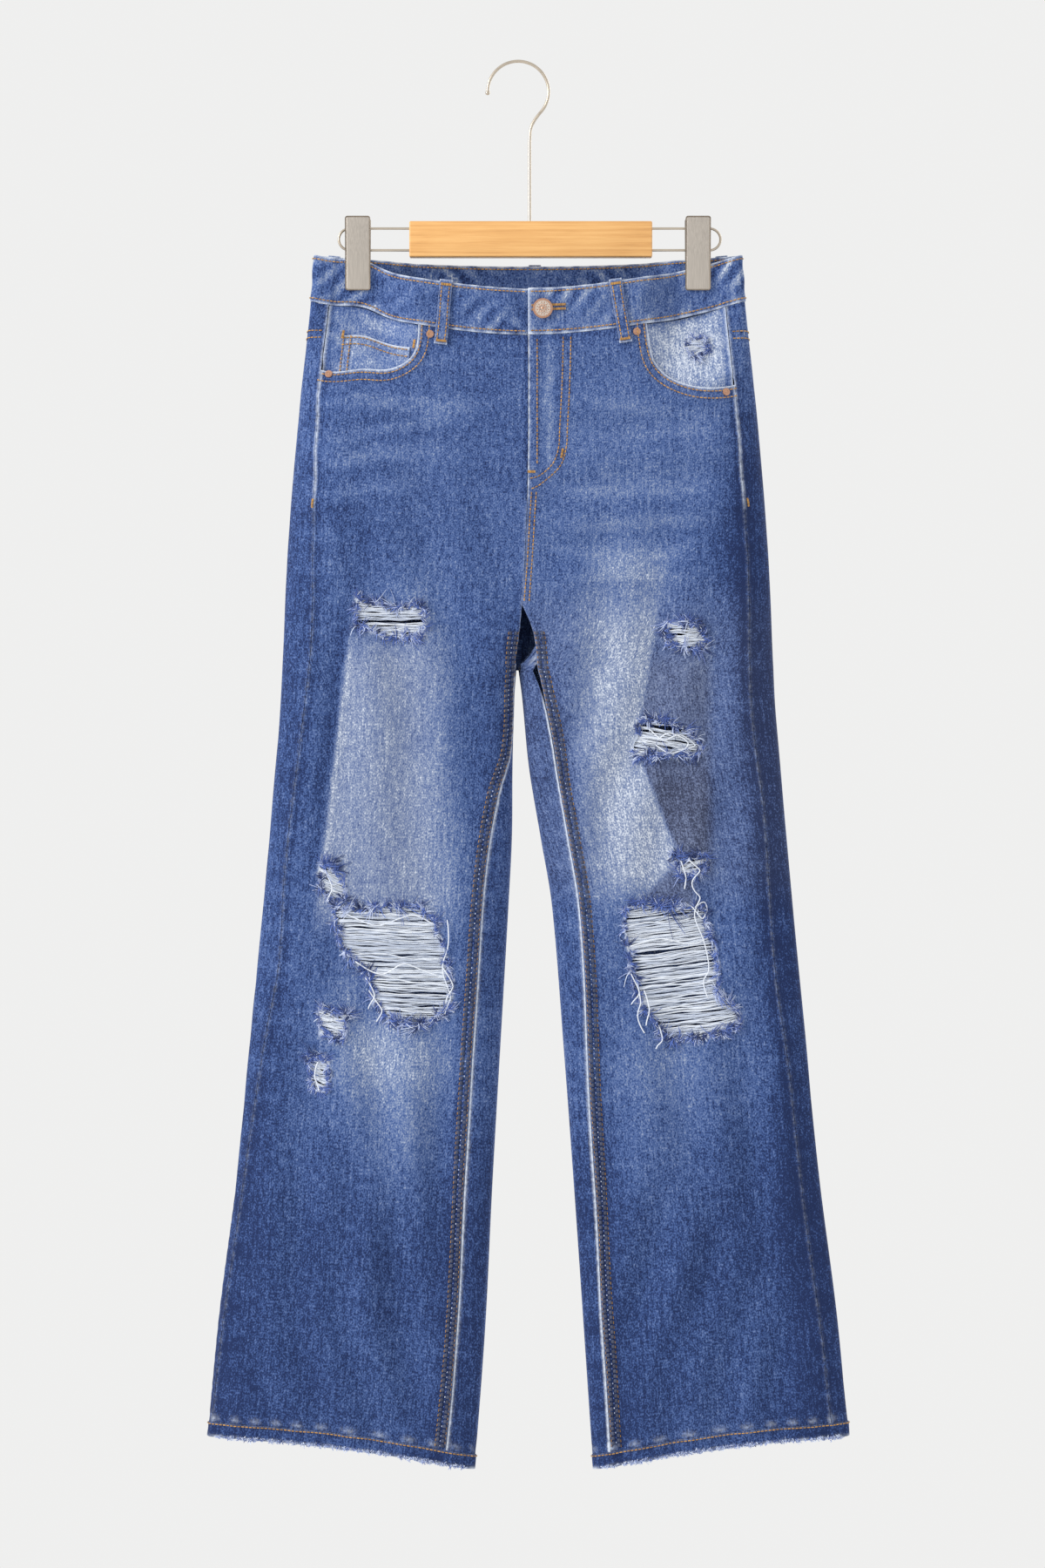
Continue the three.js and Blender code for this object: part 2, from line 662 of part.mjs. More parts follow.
// ---- Assembly -------------------------------------------------------------------------------
const jeans = new THREE.Group();
const hanger = new THREE.Group();

function add(group, name, geometry, material) {
  const mesh = new THREE.Mesh(geometry, material);
  mesh.name = name;
  group.add(mesh);
  return mesh;
}

const halves = [['left', LEFT], ['right', RIGHT]];
for (const [word, side] of halves) {
  add(jeans, `front_${word}`, frontPanel(side), denim);
  add(jeans, `back_${word}`, backPanel(side), denim);
  add(jeans, `yoke_${word}`, yoke(side), denim);
  add(jeans, `hem_${word}`, hem(side), denim);
  add(jeans, `pocket_facing_${word}`, pocketFacing(side), paleDenim);
  add(jeans, `back_pocket_${word}`, backPocket(side), denim);
  for (const [place, outline] of Object.entries(RIPS[side])) {
    add(jeans, `${place}_threads_${word}`, ripThreads(side, outline), thread);
  }
}
add(jeans, 'coin_pocket', coinPocket(), paleDenim);
add(jeans, 'waistband', waistband(), denim);
add(jeans, 'zip', flyPiece(3, -13, 13, 4.6, -365, 0.8), zipTape);
add(jeans, 'fly_shield', flyPiece(4, -10, 42, 6.6, -372, 1.2), denim);

const leftLoop = (level) => frontSpotLength(LEFT, lerp(83.4, 92, (WAIST_TOP - level) / 55), level);
const rightLoop = (level) => frontSpotLength(RIGHT, lerp(-61.5, -66, (WAIST_TOP - level) / 55), level);
function frontSpotLength(side, x, level) {
  const share = (x - innerEdge(side, level)) / (outerEdge(side, level) - innerEdge(side, level));
  return frontLength(side, level, share);
}
const SIDE_LOOP = 18;             // from the outer fold to a side loop, behind
const behindFold = (side) => (level) => frontLength(side, level, 1) + SIDE_LOOP;
const loops = [
  [LEFT, leftLoop], [RIGHT, rightLoop], [LEFT, behindFold(LEFT)], [RIGHT, behindFold(RIGHT)],
  [LEFT, (level) => girth(LEFT, level) - 6],
];
loops.forEach(([side, lengthAt], i) => {
  add(jeans, `belt_loop_${i + 1}`, beltLoop(side, lengthAt), denim);
});

const buttonProfile = [[0, 0], [4, 0], [4, 1.2], [8, 1.4], [8.5, 2.2], [8.5, 3], [7.6, 3.7], [0, 3.9]];
const button = add(jeans, 'button', lathe(buttonProfile, 24), copper);
standOn(button, LEFT, 21.3, -215.8, BAND_THICKNESS / 2 + SEAM_GAP);

const rivetProfile = [[0, 0], [3.2, 0], [3.3, 0.5], [2.6, 1.2], [1.2, 1.5], [0, 1.5]];
const rivets = [[LEFT, 102.6, -236], [LEFT, 179.5, -288], [RIGHT, -76, -238], [RIGHT, -164, -272]];
rivets.forEach(([side, x, z], i) => {
  const rivet = add(jeans, `rivet_${i + 1}`, lathe(rivetProfile, 14), copper);
  standOn(rivet, side, x, z, DENIM / 2 + SEAM_GAP);
});

const slider = add(jeans, 'zip_slider', new THREE.BoxGeometry(8, 2.2, 12), copper);
standOn(slider, LEFT, 12.6, -250, -2.6);

add(hanger, 'hook', wire(hookPoints(), HOOK_WIRE, false), steel);
add(hanger, 'wire_loop', wire(loopPoints(), LOOP.wire, true), steel);
add(hanger, 'bar', woodenBar(), wood);
for (const [word, side] of halves) {
  const clip = new THREE.Group();
  clip.position.x = CENTRE_X + side * CLIP_OFFSET;
  add(clip, `clip_${word}_front`, clipJaw(), steel);
  add(clip, `clip_${word}_back`, clipJaw().rotateZ(Math.PI), steel);
  const barrel = new THREE.CylinderGeometry(5.2, 5.2, 15, 16).rotateZ(Math.PI / 2);
  const spring = add(clip, `clip_${word}_spring`, barrel, steel);
  spring.position.z = (LOOP.top + LOOP.bottom) / 2;
  hanger.add(clip);
}

const part = new THREE.Group();
part.add(jeans, hanger);
part.updateMatrixWorld(true);

export default part;
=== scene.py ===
# %% [markdown]
# # Ripped jeans on a clip hanger
# The jeans hang flat from two clips, and the legs fall open below the knee. Cloth gets most of
# its looks from three things: the large folds, the wash that fades it, and the seams. This
# lesson makes one surface for the whole garment first, and lays every piece of cloth on it.

# %% Load the frame
import math
import bpy
import numpy as np
from mathutils import Matrix, Vector


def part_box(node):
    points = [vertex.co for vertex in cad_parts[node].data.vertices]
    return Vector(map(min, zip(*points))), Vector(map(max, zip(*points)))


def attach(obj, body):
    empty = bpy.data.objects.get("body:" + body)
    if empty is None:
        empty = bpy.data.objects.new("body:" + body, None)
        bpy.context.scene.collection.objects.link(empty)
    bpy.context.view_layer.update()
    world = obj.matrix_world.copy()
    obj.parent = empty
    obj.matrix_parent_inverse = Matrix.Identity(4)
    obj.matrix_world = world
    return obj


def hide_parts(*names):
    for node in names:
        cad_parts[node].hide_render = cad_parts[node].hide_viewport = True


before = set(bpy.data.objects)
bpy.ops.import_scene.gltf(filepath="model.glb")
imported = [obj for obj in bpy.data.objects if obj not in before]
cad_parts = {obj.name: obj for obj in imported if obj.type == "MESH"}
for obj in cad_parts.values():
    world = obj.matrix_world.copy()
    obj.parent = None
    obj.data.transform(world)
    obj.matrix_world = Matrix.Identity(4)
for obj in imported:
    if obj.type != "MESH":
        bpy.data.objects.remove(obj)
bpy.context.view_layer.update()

bpy.ops.object.select_all(action="DESELECT")
chance = np.random.default_rng(11)

# %% [markdown]
# ## The pattern's measures
# Tailors note a garment as widths at stations down its length. The same is done here, in
# millimetres, with a smooth curve through the stations, so that the visual cloth lies exactly
# where the cloth of the frame lies.

# %% Stations down the garment
MM = 0.001                               # metres
LEFT, RIGHT = 1, -1                      # the wearer's own sides
SIDE_WORDS = {LEFT: "left", RIGHT: "right"}
CENTRE_X = 8.5                           # the garment's middle, under the middle of the hanger
SEAM_GAP = 0.3                           # between pieces that a seam joins
DENIM = 1.3                              # wall of one layer of cloth
WAIST_TOP, WAIST_BOTTOM = -167.0, -207.5
BAND_HEIGHT = WAIST_TOP - WAIST_BOTTOM
CROTCH, SADDLE = -472.0, -525.0          # the seat seam in front, and its lowest point
PANEL_BOTTOM, HEM_BOTTOM = -1180.0, -1193.0
CLIP_OFFSET = 147.8                      # from the garment's middle to each clip
FRONT_SAG, BACK_SAG = 31, 8.5            # dip of the waist between the clips
HEM_TILT, HEM_ARCH = 29, 5               # the inner end of a hem hangs lower, on a soft arch
ROUNDING = 48                            # reach of the round folds at the sides
PINCHED = 2                              # each layer's distance from the plane inside a clip


def along(stations):
    """A smooth value over the height, through stations listed from the top down."""
    z, v = np.array(stations, float).T
    before = np.maximum(np.arange(len(z)) - 1, 0)
    after = np.minimum(np.arange(len(z)) + 1, len(z) - 1)
    slope = (v[after] - v[before]) / (z[after] - z[before])

    def value(height):
        h = np.clip(height, z[-1], z[0])
        i = np.clip(np.searchsorted(-z, -h, side="right") - 1, 0, len(z) - 2)
        span = z[i + 1] - z[i]
        t = (h - z[i]) / span
        return (v[i] * (1 + 2 * t) * (1 - t) ** 2 + slope[i] * span * t * (1 - t) ** 2
                + v[i + 1] * t * t * (3 - 2 * t) + slope[i + 1] * span * t * t * (t - 1))
    return value


OUTER = along([(-150, 184), (-211, 188.5), (-310, 199), (-430, 208.7), (-551, 214.2), (-612, 219),
               (-732, 229.7), (-853, 241.5), (-974, 253.5), (-1095, 269), (-1230, 282)])
INNER = {
    LEFT: along([(SADDLE, 0.4), (-551, 4), (-612, 10), (-672, 20), (-732, 30), (-853, 40),
                 (-974, 49), (-1095, 57.4), (-1230, 66.5)]),
    RIGHT: along([(SADDLE, -2), (-551, -4), (-612, -5.5), (-672, -6), (-732, -9), (-853, -16),
                  (-974, -23), (-1095, -29), (-1230, -39)]),
}
CENTRE_SEAM = along([(-150, 8.3), (-359, 8.3), (CROTCH, 3.8), (SADDLE, -0.8)])
OUTSEAM_IN = {
    LEFT: along([(-150, 15), (-283, 17.6), (-452, 19.5), (-560, 21.8), (-647, 18.6), (-799, 21),
                 (-880, 18), (-1109, 15.8), (-1230, 14)]),
    RIGHT: along([(-150, 16), (-267, 15.5), (-388, 21), (-490, 24.7), (-586, 20.5), (-698, 16.5),
                  (-779, 19), (-847, 13.7), (-972, 7), (-1085, 5.3), (-1230, 3)]),
}
INSEAM_IN = {
    LEFT: along([(CROTCH, 0), (-500, 12), (-550, 19), (-605, 23.5), (-776, 23), (-912, 18.5),
                 (-1230, 15)]),
    RIGHT: along([(CROTCH, 0), (-521, 2), (-597, 2.5), (-637, 12.5), (-687, 20), (-758, 23),
                  (-1080, 24), (-1230, 27)]),
}
FRONT_DEPTH = along([(-150, 18), (-240, 23), (-360, 26), (-525, 22), (-800, 19), (-1230, 14)])
BACK_DEPTH = along([(-150, 9), (-240, 18), (-360, 27), (-525, 22), (-800, 18), (-1230, 14)])
FOLDS = [
    # half of the garment, on the front, from x and z, to x and z, half width, height
    (RIGHT, True, -143, -468, -170, -690, 16, -4), (RIGHT, True, -118, -860, -150, -1150, 22, 4),
    (RIGHT, True, -70, -900, -92, -1180, 20, -4), (LEFT, True, 165, -480, 178, -700, 16, -4),
    (LEFT, True, 120, -880, 150, -1160, 22, 4), (LEFT, True, 205, -900, 226, -1170, 20, -4),
    (RIGHT, False, -60, -560, -150, -640, 18, -4), (LEFT, False, 75, -560, 165, -640, 18, -4),
    (RIGHT, False, -130, -800, -170, -1120, 22, -4), (LEFT, False, 145, -800, 185, -1120, 22, -4),
]

# %% [markdown]
# ## One surface for the whole garment
# Each leg is a flattened tube. `surface` gives a point of it from a share across the leg and a
# level down it: the waist dips between the clips, the hems tilt, and a clip pinches the cloth
# flat. It could be sculpted, but a formula keeps each seam on both of its panels.

# %% The large shapes of the cloth
def ease(start, end, x):
    t = np.clip((x - start) / (end - start), 0, 1)
    return t * t * (3 - 2 * t)


def mix(a, b, t):
    return a + (b - a) * t


def bell(distance, width):
    """1 at a distance of 0, fading smoothly on both sides."""
    return np.exp(-(distance / width) ** 2)


def openness(z):
    """0 where a leg is closed at its inner end, and 1 where it is open to the other leg."""
    return np.sqrt(1 - (1 - np.clip((z - SADDLE) / 110, 0, 1)) ** 2)


def inner_edge(side, z):
    seam = CENTRE_SEAM(z) + side * (SEAM_GAP / 2 + 1.2 * (1 - openness(z)))
    return np.where(z <= SADDLE, INNER[side](z), seam)


def outer_edge(side, z):
    return CENTRE_X + side * OUTER(z)


def dip(side, front, share, level):
    """How far a row of the cloth hangs below its level at the side seam."""
    x = mix(inner_edge(side, level), outer_edge(side, level), share)
    out = np.minimum(np.abs(x - CENTRE_X) / OUTER(level), 1)
    held = 7 * bell(x + 135, 22) * (side == RIGHT)
    waist = np.where(front, FRONT_SAG * (1 - out ** 1.8) - held, BACK_SAG * (1 - out ** 2))
    arch = np.where(front, HEM_ARCH * np.sin(np.pi * share), 0)
    hem = ease(-850, HEM_BOTTOM, level) * (HEM_TILT * (1 - share) - arch)
    return waist * (1 - ease(-230, -470, level)) + hem


def crease(side, front, x, z):
    """How far the large folds raise the cloth."""
    height = np.zeros_like(x)
    for fold_side, fold_front, x1, z1, x2, z2, half_width, rise in FOLDS:
        if fold_side != side:
            continue
        length = math.hypot(x2 - x1, z2 - z1)
        run = ((x - x1) * (x2 - x1) + (z - z1) * (z2 - z1)) / length
        off = ((x - x1) * (z2 - z1) - (z - z1) * (x2 - x1)) / length
        taper = ease(-0.15, 0.25, run / length) * (1 - ease(0.75, 1.15, run / length))
        height += np.where(front == fold_front, rise * taper * bell(off, half_width), 0)
    return height


def surface(side, front, share, level):
    """(points, how free each one is to ripple) of the large shape."""
    z = level - dip(side, front, share, level)
    inner, outer = inner_edge(side, z), outer_edge(side, z)
    x = mix(inner, outer, share)
    width = np.abs(outer - inner)

    def end(distance):
        reach = np.clip(distance / np.minimum(ROUNDING, width / 2), 0, 1)
        return np.sqrt(1 - (1 - reach) ** 2)

    around = end((1 - share) * width) * mix(end(share * width), 1, openness(z))
    away = np.abs(x - (CENTRE_X + side * CLIP_OFFSET))
    free = 1 - (1 - ease(17, 54, away)) * (1 - ease(-200, -300, z))
    depth = np.where(front, FRONT_DEPTH(z), BACK_DEPTH(z)) + crease(side, front, x, z)
    depth = mix(np.minimum(depth * around, PINCHED), depth * around, free)
    return np.stack([x, np.where(front, -depth, depth), z], -1), around * free


# %% [markdown]
# ## Small folds
# Denim is stiff, so it breaks into soft uneven ripples that run down the legs and across the
# hips. A few sine waves of mixed direction, each fading in and out, read as cloth better than
# plain noise does. They fade out at the side folds and under the clips.

# %% Ripples over the large shapes
RIPPLES = [
    # half of the garment, on the front, across x, down z, wave length, height, tilt
    (RIGHT, 1, -110, -330, 46, 1.1, 0.28), (LEFT, 1, 110, -350, 50, 1.1, -0.22),
    (RIGHT, 1, -90, -560, 58, 1.3, 1.42), (LEFT, 1, 110, -600, 52, 1.4, 1.75),
    (RIGHT, 1, -110, -920, 64, 2.0, 1.42), (LEFT, 1, 150, -930, 60, 2.0, 1.72),
    (RIGHT, 1, -130, -1080, 44, 1.5, 1.48), (LEFT, 1, 160, -1090, 47, 1.5, 1.66),
    (RIGHT, 0, -90, -420, 70, 1.8, 0.25), (LEFT, 0, 100, -420, 66, 1.8, -0.25),
    (RIGHT, 0, -110, -760, 40, 1.7, 0.9), (LEFT, 0, 120, -760, 44, 1.7, -0.8),
    (RIGHT, 0, -130, -1050, 56, 2.0, 1.45), (LEFT, 0, 150, -1050, 58, 2.0, 1.7),
]


def ripples(side, front, x, z):
    height = np.zeros_like(x)
    for half, on_front, cx, cz, wave, rise, tilt in RIPPLES:
        if half != side:
            continue
        run = (x - cx) * math.sin(tilt) + (z - cz) * math.cos(tilt)
        off = (z - cz) * math.sin(tilt) - (x - cx) * math.cos(tilt)
        swing = 7 * np.sin(off / 37 + cx) + 5 * np.sin(off / 83 + cz)
        fade = np.exp(-(((x - cx) / 95) ** 2 + ((z - cz) / 170) ** 2))
        wave_height = np.sin((run + swing) * 2 * np.pi / wave)
        height += np.where(front == bool(on_front), rise * fade * wave_height, 0)
    return height


STEPS = 96                # across one face of a leg
ROW_STEP = 2.5
RIPPLE_HEIGHT = 1.7       # times the heights in the list
LEVELS = np.arange(-155.0, -1212.0, -ROW_STEP)
table = {}
for side in (LEFT, RIGHT):
    step = np.arange(2 * STEPS + 1)
    shares = (1 - np.cos(np.pi * np.minimum(step, 2 * STEPS - step) / STEPS)) / 2
    share, level = np.meshgrid(shares, LEVELS)
    front = np.broadcast_to(step <= STEPS, share.shape)
    spots, loose = surface(side, front, share, level)
    lengths = np.zeros(share.shape)
    lengths[:, 1:] = np.cumsum(np.linalg.norm(np.diff(spots, axis=1), axis=2), axis=1)
    normal = np.cross(np.gradient(spots, axis=1), -np.gradient(spots, axis=0)) * side
    normal /= np.maximum(np.linalg.norm(normal, axis=2, keepdims=True), 1e-9)
    lift = RIPPLE_HEIGHT * ripples(side, front, spots[..., 0], spots[..., 2])
    lift = lift * np.clip(loose, 0, 1)
    spots = spots + normal * lift[..., None]
    keys = (lengths + 1e4 * np.arange(len(LEVELS))[:, None]).ravel()
    table[side] = {"spots": spots, "lengths": lengths, "keys": keys,
                   "girth": lengths[:, -1]}
    print("half", side, "girth at the waist and hem", lengths[5, -1].round(1),
          lengths[-9, -1].round(1))


# %% Looking up a place on the cloth
def raw_spot(side, level, length):
    """The point this length along the section at this level."""
    t = table[side]
    row = np.clip((LEVELS[0] - level) / ROW_STEP, 0, len(LEVELS) - 1.001)
    upper = row.astype(int)
    found = []
    for r in (upper, upper + 1):
        target = np.clip(length, 0, t["girth"][r] - 1e-6)
        column = np.searchsorted(t["keys"], target + 1e4 * r, side="right") - 1
        column = np.clip(column - r * (2 * STEPS + 1), 0, 2 * STEPS - 1)
        l0, l1 = t["lengths"][r, column], t["lengths"][r, column + 1]
        part = ((target - l0) / np.maximum(l1 - l0, 1e-9))[..., None]
        found.append(mix(t["spots"][r, column], t["spots"][r, column + 1], part))
    return mix(found[0], found[1], (row - upper)[..., None])


def front_length(side, level, share):
    """Length from the inner end to a share of the front face."""
    t = table[side]
    row = np.clip((LEVELS[0] - level) / ROW_STEP, 0, len(LEVELS) - 1).round().astype(int)
    column = np.arccos(1 - 2 * np.clip(share, 0, 1)) * STEPS / np.pi
    c0 = np.minimum(column.astype(int), STEPS - 1)
    return mix(t["lengths"][row, c0], t["lengths"][row, c0 + 1], column - c0)


def from_table(side, level, measure):
    return np.interp(-np.asarray(level, float), -LEVELS, table[side][measure])


def girth(side, level):
    return from_table(side, level, "girth")


for side in (LEFT, RIGHT):
    width = np.abs(outer_edge(side, LEVELS) - inner_edge(side, LEVELS))
    table[side]["outseam"] = front_length(side, LEVELS, 1 - OUTSEAM_IN[side](LEVELS) / width)
    inside = front_length(side, LEVELS, INSEAM_IN[side](LEVELS) / width)
    table[side]["inseam"] = np.where(LEVELS >= CROTCH, 0, inside)


def outseam(side, level):
    return from_table(side, level, "outseam")


def inseam(side, level):
    return from_table(side, level, "inseam")


def front_spot(side, x, z):
    """The place on the front with this x and z, as a level and a length."""
    inner, outer = inner_edge(side, z), outer_edge(side, z)
    share = np.clip((x - inner) / (outer - inner), 0, 1)
    level = z
    for _ in range(8):
        level = z + dip(side, True, share, level)
    return level, front_length(side, level, share)


# %% [markdown]
# ## Seams shape the cloth too
# A seam is three or four layers thick, so it stands up as a ridge, and the cloth beside it
# puckers where the thread has shrunk. Both are a millimetre or less, and are added where a
# point is looked up, because the large surface is too coarse for them.

# %% The finished cloth, with its seams
def from_seams(side, level, length):
    """(distance from the side seam, distance from the inseam)."""
    return length - outseam(side, level), length - inseam(side, level)


def on_legs(level):
    return ease(CROTCH + 5, CROTCH - 30, level)


def uneven(run, pitch, swing, drift):
    """Marks along a seam at a pitch that wanders, from -1 to 1."""
    return np.sin(run / pitch + swing * np.sin(run / drift))


def seam_pucker(level):
    return uneven(level, 2.1, 2, 23)


def chain_marks(level):
    return uneven(level, 1.6, 1.5, 17)


def hem_marks(length):
    return uneven(length, 3.4, 2, 31)


def seam_relief(side, level, length):
    """How far the seams raise the cloth."""
    from_out, from_in = from_seams(side, level, length)
    height = 0.9 * bell(from_out, 2.4) - 0.5 * bell(from_out - 6, 4)
    pucker = seam_pucker(level) * (0.6 + 0.4 * np.sin(level / 61))
    height += 0.55 * pucker * bell(from_out, 9)
    height += on_legs(level) * (0.9 * bell(from_in - 1.5, 3.2)
                                + 0.4 * chain_marks(level) * bell(from_in, 7))
    height += 0.5 * hem_marks(length) * bell(level - PANEL_BOTTOM, 10)
    fly = ease(-380, -366, level)
    height += fly * bell(length, 11) * (1.5 if side == LEFT else -0.6)
    below_fly = (1 - fly) * ease(SADDLE, CROTCH, level)
    return height + below_fly * 0.6 * bell(length, 4)


def cloth(side, level, length, lift=0.0):
    """(points, outward directions) on the cloth, in millimetres."""
    level, length = np.broadcast_arrays(np.asarray(level, float), np.asarray(length, float))
    past = length - girth(side, level)
    length = np.where(past > 0.001, past, length)
    around = raw_spot(side, level, length + 2.5) - raw_spot(side, level, length - 2.5)
    up = raw_spot(side, level + 2.5, length) - raw_spot(side, level - 2.5, length)
    out = np.cross(around, up) * side
    out /= np.maximum(np.linalg.norm(out, axis=-1, keepdims=True), 1e-9)
    rise = np.asarray(lift, float) + seam_relief(side, level, length)
    return raw_spot(side, level, length) + out * rise[..., None], out


def front_cloth(side, x, z, lift=0.0):
    level, length = front_spot(side, np.asarray(x, float), np.asarray(z, float))
    return cloth(side, level, length, lift)


# %% [markdown]
# ## How the fade and the painted shade are laid on
# Makers sand and spray denim before it is washed, so it is palest on the thighs and below the
# knees, and darkest at the sides. Painted shade of folds, of a thigh crease and of the gap
# between the legs goes into the same tone, with a painted highlight on that crease. The amount
# is worked out at each vertex and kept as an attribute, which the material turns into colour.
# An image could hold it, but an attribute needs no file and follows the cloth.

# %% Wash and wear over the garment
def line_at(z, x1, z1, x2, z2):
    return x1 + (x2 - x1) * (z - z1) / (z2 - z1)


def between(value, low, high, soft_low, soft_high):
    rising = ease(low - soft_low, low + soft_low, value)
    return rising * (1 - ease(high - soft_high, high + soft_high, value))


def spread_of(x, z, cx, cz, wide, tall):
    return np.exp(-(((x - cx) / wide) ** 2 + ((z - cz) / tall) ** 2))


def knee_fold_painted_shade(x, z):
    """Where painted shade stands for the fold that runs down from the smallest tear to the top of
    the left knee.
    """
    return between(x, line_at(z, 140, -692, 106, -728), 152, 2.5, 5) * between(z, -742, -698, 5, 7)


PALE_SPOTS = {   # tone, strength, x, z, and the reach across and down
    RIGHT: [(0.84, 0.9, -110, -862, 46, 36), (0.62, 0.7, -104, -915, 36, 74),
            (0.60, 0.6, -62, -700, 26, 60), (0.52, 0.75, -147, -806, 16, 24)],
    LEFT: [(0.62, 0.75, 118, -872, 44, 34), (0.45, 0.55, 118, -915, 38, 72),
           (0.60, 0.5, 66, -712, 20, 60)],
}
WHISKERS = {     # from x, to x, z, height, strength
    RIGHT: [(-150, -40, -300, 8, .2), (-160, -50, -322, 6, .16), (-160, -70, -346, 9, .18),
            (-165, -90, -372, 8, .14), (-150, -60, -262, 5, .1)],
    LEFT: [(60, 160, -300, 7, .1), (70, 170, -322, 6, .1), (46, 150, -372, 8, .14),
           (40, 150, -398, 7, .17), (40, 140, -424, 8, .18), (60, 150, -446, 7, .14)],
}


def thigh_edge(side, z):
    """The x of the crease that ends the pale part of a thigh on its outer side."""
    if side == RIGHT:
        return line_at(z, -143, -468, -171, -700)
    return np.where(z > -590, line_at(z, 122, -476, 106, -574), line_at(z, 106, -604, 140, -690))


def right_thigh_wash_and_painted_crease_light(x, z, tone):
    crease_x = thigh_edge(RIGHT, z)
    thigh = between(x, crease_x, -58, 2.5, 20) * between(z, -742, -500, 26, 26)
    tone = mix(tone, 0.60, 0.95 * thigh)
    tone = mix(tone, 0.52, 0.8 * between(x, -140, -66, 9, 22) * between(z, -500, -445, 12, 34))
    # Painted shade beside the fold line above the thigh's tear.
    fold = x - line_at(z, -163, -400, -147, -458)
    above_tear = between(z, -464, -380, 5, 24)
    tone = tone - above_tear * 0.10 * (ease(-1, 3, fold) * (1 - ease(20, 46, fold)))
    # A painted highlight along the thigh's crease, and painted shade just outside it.
    tone = tone + 0.22 * bell(x - crease_x - 2.5, 2.4) * between(z, -695, -500, 20, 20)
    return tone - 0.14 * bell(x - crease_x + 7, 6) * between(z, -700, -480, 25, 25)


def left_thigh_wash_and_painted_shade(x, z, tone):
    crease_x = thigh_edge(LEFT, z)
    thigh = between(x, 58, crease_x, 26, 3) * between(z, -722, -468, 26, 34)
    tone = mix(tone, 0.80, 0.93 * thigh)
    # Painted shade of the fold beside the pale thigh, greyer and darker towards the knee.
    shade = between(x, crease_x, 166, 2.5, 7) * between(z, -705, -505, 18, 22)
    tone = mix(tone, 0.28 - 0.15 * ease(-590, -640, z), 0.92 * shade)
    # Painted shade of the fold above the left knee.
    tone = mix(tone, 0.13, 0.9 * knee_fold_painted_shade(x, z))
    tone = tone - 0.20 * spread_of(x, z, 208, -430, 22, 110)
    tone = tone - 0.12 * spread_of(x, z, 176, -430, 14, 60)
    on_fly = between(z, -350, -240, 9, 9)
    tone = tone + on_fly * (0.17 * bell(x - 27, 3.6) - 0.12 * bell(x - 36, 3.2)
                            - 0.10 * bell(x - 17, 3.0))
    return mix(tone, 0.62, 0.8 * between(x, 60, 128, 24, 16) * between(z, -470, -425, 14, 30))


def front_wash_and_painted_shade(side, x, z, out):
    tone = 0.295 + 0.05 * spread_of(x, z, 8, -330, 130, 120) + 0.03 * side * ease(-640, -420, z)
    tone = tone - (0.20 + 0.08 * side) * ease(0.78, 0.95, out) * ease(-230, -420, z)
    tone = tone - 0.13 * ease(-860, -1010, z)
    # Painted shade between the legs, darker towards their inner edges below the crotch.
    tone = tone - 0.07 * ease(-440, -560, z) * (1 - ease(20, 70, np.abs(x - inner_edge(side, z))))
    tone = (left_thigh_wash_and_painted_shade if side == LEFT else right_thigh_wash_and_painted_crease_light)(x, z, tone)
    for pale, strength, cx, cz, wide, tall in PALE_SPOTS[side]:
        tone = mix(tone, pale, strength * spread_of(x, z, cx, cz, wide, tall))
    for x1, x2, zc, tall, amount in WHISKERS[side]:
        along_it = between(x, x1, x2, 26, 30)
        tone = tone - 0.25 * amount * bell(z - zc + 1.5 * tall, tall) * along_it
        bend = 5 * np.sin((x - x1) / 31 + zc) - 0.05 * side * (x - x1)
        tone = tone + amount * bell(z - zc - bend, tall) * along_it
    return tone


def back_wash(side, x, z, out):
    tone = 0.33 + 0.30 * spread_of(x, z, CENTRE_X + side * 95, -370, 62, 74)
    tone = tone + 0.20 * spread_of(x, z, CENTRE_X + side * 105, -640, 50, 150)
    return tone - 0.13 * ease(-860, -1010, z) - 0.08 * ease(0.82, 0.97, out)


def wash_and_painted_shade_at(side, points):
    """0 is the dark unworn cloth and 1 is bleached white: the sanded fade, with painted shade in
    folds and between the legs and a painted highlight on a thigh crease.
    """
    x, y, z = points[..., 0], points[..., 1], points[..., 2]
    out = np.abs(x - CENTRE_X) / OUTER(z)
    tone = np.where(y > 0, back_wash(side, x, z, out), front_wash_and_painted_shade(side, x, z, out))
    return np.clip(tone, 0.02, 1)


def seam_stripes_and_painted_shadow(side, level, length):
    """How much darker the cloth is painted beside its seams: stripes by the side seams and inseams,
    painted shadow under the waistband's lower edge and beside the fly's edge, and a faint ripple of
    tone by the seams.
    """
    from_out, from_in = from_seams(side, level, length)
    shade = 0.10 * bell(from_out + 4.5, 2.5) + 0.10 * bell(from_out - 2.5, 1.5)
    shade = shade + on_legs(level) * 0.16 * bell(from_in - 5.5, 5.5)
    # Painted shadow under the waistband's lower edge.
    shade = shade + 0.14 * bell(level - WAIST_BOTTOM + 2, 2.6)
    # On the right panel, painted shadow beside the fly's edge.
    if side == RIGHT:
        shade = shade + 0.16 * ease(-376, -360, level) * bell(length, 3.5)
    ripple = 0.05 * uneven(level, 5.2, 2, 37)
    return shade + ripple * bell(from_out, 16) + on_legs(level) * ripple * bell(from_in, 20)


